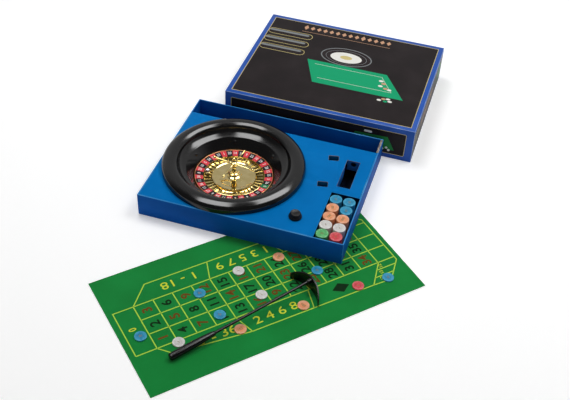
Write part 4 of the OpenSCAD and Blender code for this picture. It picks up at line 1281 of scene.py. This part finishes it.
lightPlan = {                                                          # places and sizes in metres, powers in watts
    "fill": 0.3, "backGlow": 0.5, "frontGlow": 0.08, "zenithGlow": 0.15,
    "lamps": {
        "softboxLeft": {"from": (-0.5, 0.5, 2.0), "size": (0.8, 0.8), "power": 14},
        "softboxRight": {"from": (0.9, 0.5, 2.0), "size": (0.8, 0.8), "power": 14.5},
    },
    "mirrored": (                                                           # what gloss sees: directions from the wheel
        {"towards": (-0.233, 0, 0.972), "long": (-0.03, 0.998, 0), "half": 0.44, "wide": 0.2, "taper": 0.27, "glow": 8},
        {"towards": (0.326, 0.349, 0.879), "long": (-0.835, 0.542, 0.094), "half": 0.42, "wide": 0.25, "taper": 0.34,
         "glow": 8},
    ),
}


def paleFloor():
    bpy.ops.mesh.primitive_plane_add(size=14, location=(0, 0, -0.0002))
    floor = bpy.context.object
    floor.name = "floor"
    made, tree, shader, place = newMaterial("floorPaper", {"Base Color": (0.92, 0.92, 0.92, 1), "Roughness": 0.9})
    seen = addNode(tree, "ShaderNodeLightPath").outputs["Is Camera Ray"]
    tree.links.new(seen, shader.inputs["Emission Strength"])
    shader.inputs["Emission Color"].default_value = (0.3, 0.3, 0.3, 1)
    floor.data.materials.append(made)


def panelGlow(tree, skyward, p):
    # A softbox as gloss sees it: lit inside its edges, wider at its far end, nothing outside
    towards, long = Vector(p["towards"]).normalized(), Vector(p["long"]).normalized()
    facing = addNode(tree, "ShaderNodeVectorMath", {1: towards}, {0: skyward}, operation="DOT_PRODUCT").outputs["Value"]
    ahead = addNode(tree, "ShaderNodeMath", {1: 0.05}, {0: facing}, operation="MAXIMUM").outputs[0]

    def offAlong(axis):
        along = addNode(tree, "ShaderNodeVectorMath", {1: axis}, {0: skyward}, operation="DOT_PRODUCT").outputs["Value"]
        return addNode(tree, "ShaderNodeMath", links={0: along, 1: ahead}, operation="DIVIDE").outputs[0]

    lengthwise, sideways = offAlong(long), offAlong(towards.cross(long))
    half = addNode(tree, "ShaderNodeMath", {1: -p["taper"], 2: p["wide"]}, {0: lengthwise}, operation="MULTIPLY_ADD").outputs[0]
    made = None
    for off, edge in ((lengthwise, p["half"]), (sideways, half)):
        off = addNode(tree, "ShaderNodeMath", links={0: off}, operation="ABSOLUTE").outputs[0]
        if edge is half:
            off, edge = addNode(tree, "ShaderNodeMath", links={0: off, 1: half}, operation="DIVIDE").outputs[0], 1.0
        inside = addNode(tree, "ShaderNodeMapRange", {"From Min": edge * 1.12, "From Max": edge * 0.85, "To Max": 1.0},
                         {"Value": off}, interpolation_type="SMOOTHSTEP").outputs["Result"]
        made = inside if made is None else addNode(tree, "ShaderNodeMath", links={0: made, 1: inside},
                                                   operation="MULTIPLY").outputs[0]
    return addNode(tree, "ShaderNodeMath", {1: p["glow"]}, {0: made}, operation="MULTIPLY").outputs[0]


def studioWorld():
    # White behind the object; in gloss, bright towards the back of the room and dark towards its front
    world = bpy.data.worlds.new("studio")
    scene.world = world
    world.use_nodes = True
    tree = world.node_tree
    tree.nodes.clear()
    path = addNode(tree, "ShaderNodeLightPath")
    skyward = addNode(tree, "ShaderNodeTexCoord").outputs["Generated"]
    parts = addNode(tree, "ShaderNodeSeparateXYZ", links={"Vector": skyward})
    backward = addNode(tree, "ShaderNodeMapRange", {"From Min": -0.25, "From Max": 0.5, "To Min": lightPlan["frontGlow"],
                                                    "To Max": lightPlan["backGlow"]}, {"Value": parts.outputs["Y"]},
                       interpolation_type="SMOOTHSTEP").outputs["Result"]
    upward = addNode(tree, "ShaderNodeMapRange", {"From Min": 0.8, "From Max": 1.0}, {"Value": parts.outputs["Z"]}).outputs["Result"]
    mirrored = addNode(tree, "ShaderNodeMix", {3: lightPlan["zenithGlow"]}, {0: upward, 2: backward}).outputs[0]
    for panel in lightPlan["mirrored"]:
        mirrored = addNode(tree, "ShaderNodeMath", links={0: mirrored, 1: panelGlow(tree, skyward, panel)},
                           operation="ADD").outputs[0]
    strength = addNode(tree, "ShaderNodeMix", {2: lightPlan["fill"]}, {0: path.outputs["Is Glossy Ray"], 3: mirrored}).outputs[0]
    strength = addNode(tree, "ShaderNodeMath", links={0: path.outputs["Is Camera Ray"], 1: strength},
                       operation="MAXIMUM").outputs[0]
    back = addNode(tree, "ShaderNodeBackground", {"Color": (1, 1, 1, 1)}, {"Strength": strength})
    addNode(tree, "ShaderNodeOutputWorld", links={"Surface": back.outputs[0]})


def softboxes():
    for name, p in lightPlan["lamps"].items():
        light = bpy.data.lights.new(name, "AREA")
        light.shape, light.energy = "RECTANGLE", p["power"]
        light.size, light.size_y = p["size"]
        lamp = bpy.data.objects.new(name, light)
        scene.collection.objects.link(lamp)
        lamp.location = Vector(p["from"]) + Vector((wheelMid.x, wheelMid.y, 0))
        lamp.visible_glossy = False                                    # gloss shows the world's panels instead


paleFloor()
studioWorld()
softboxes()
print("light made")
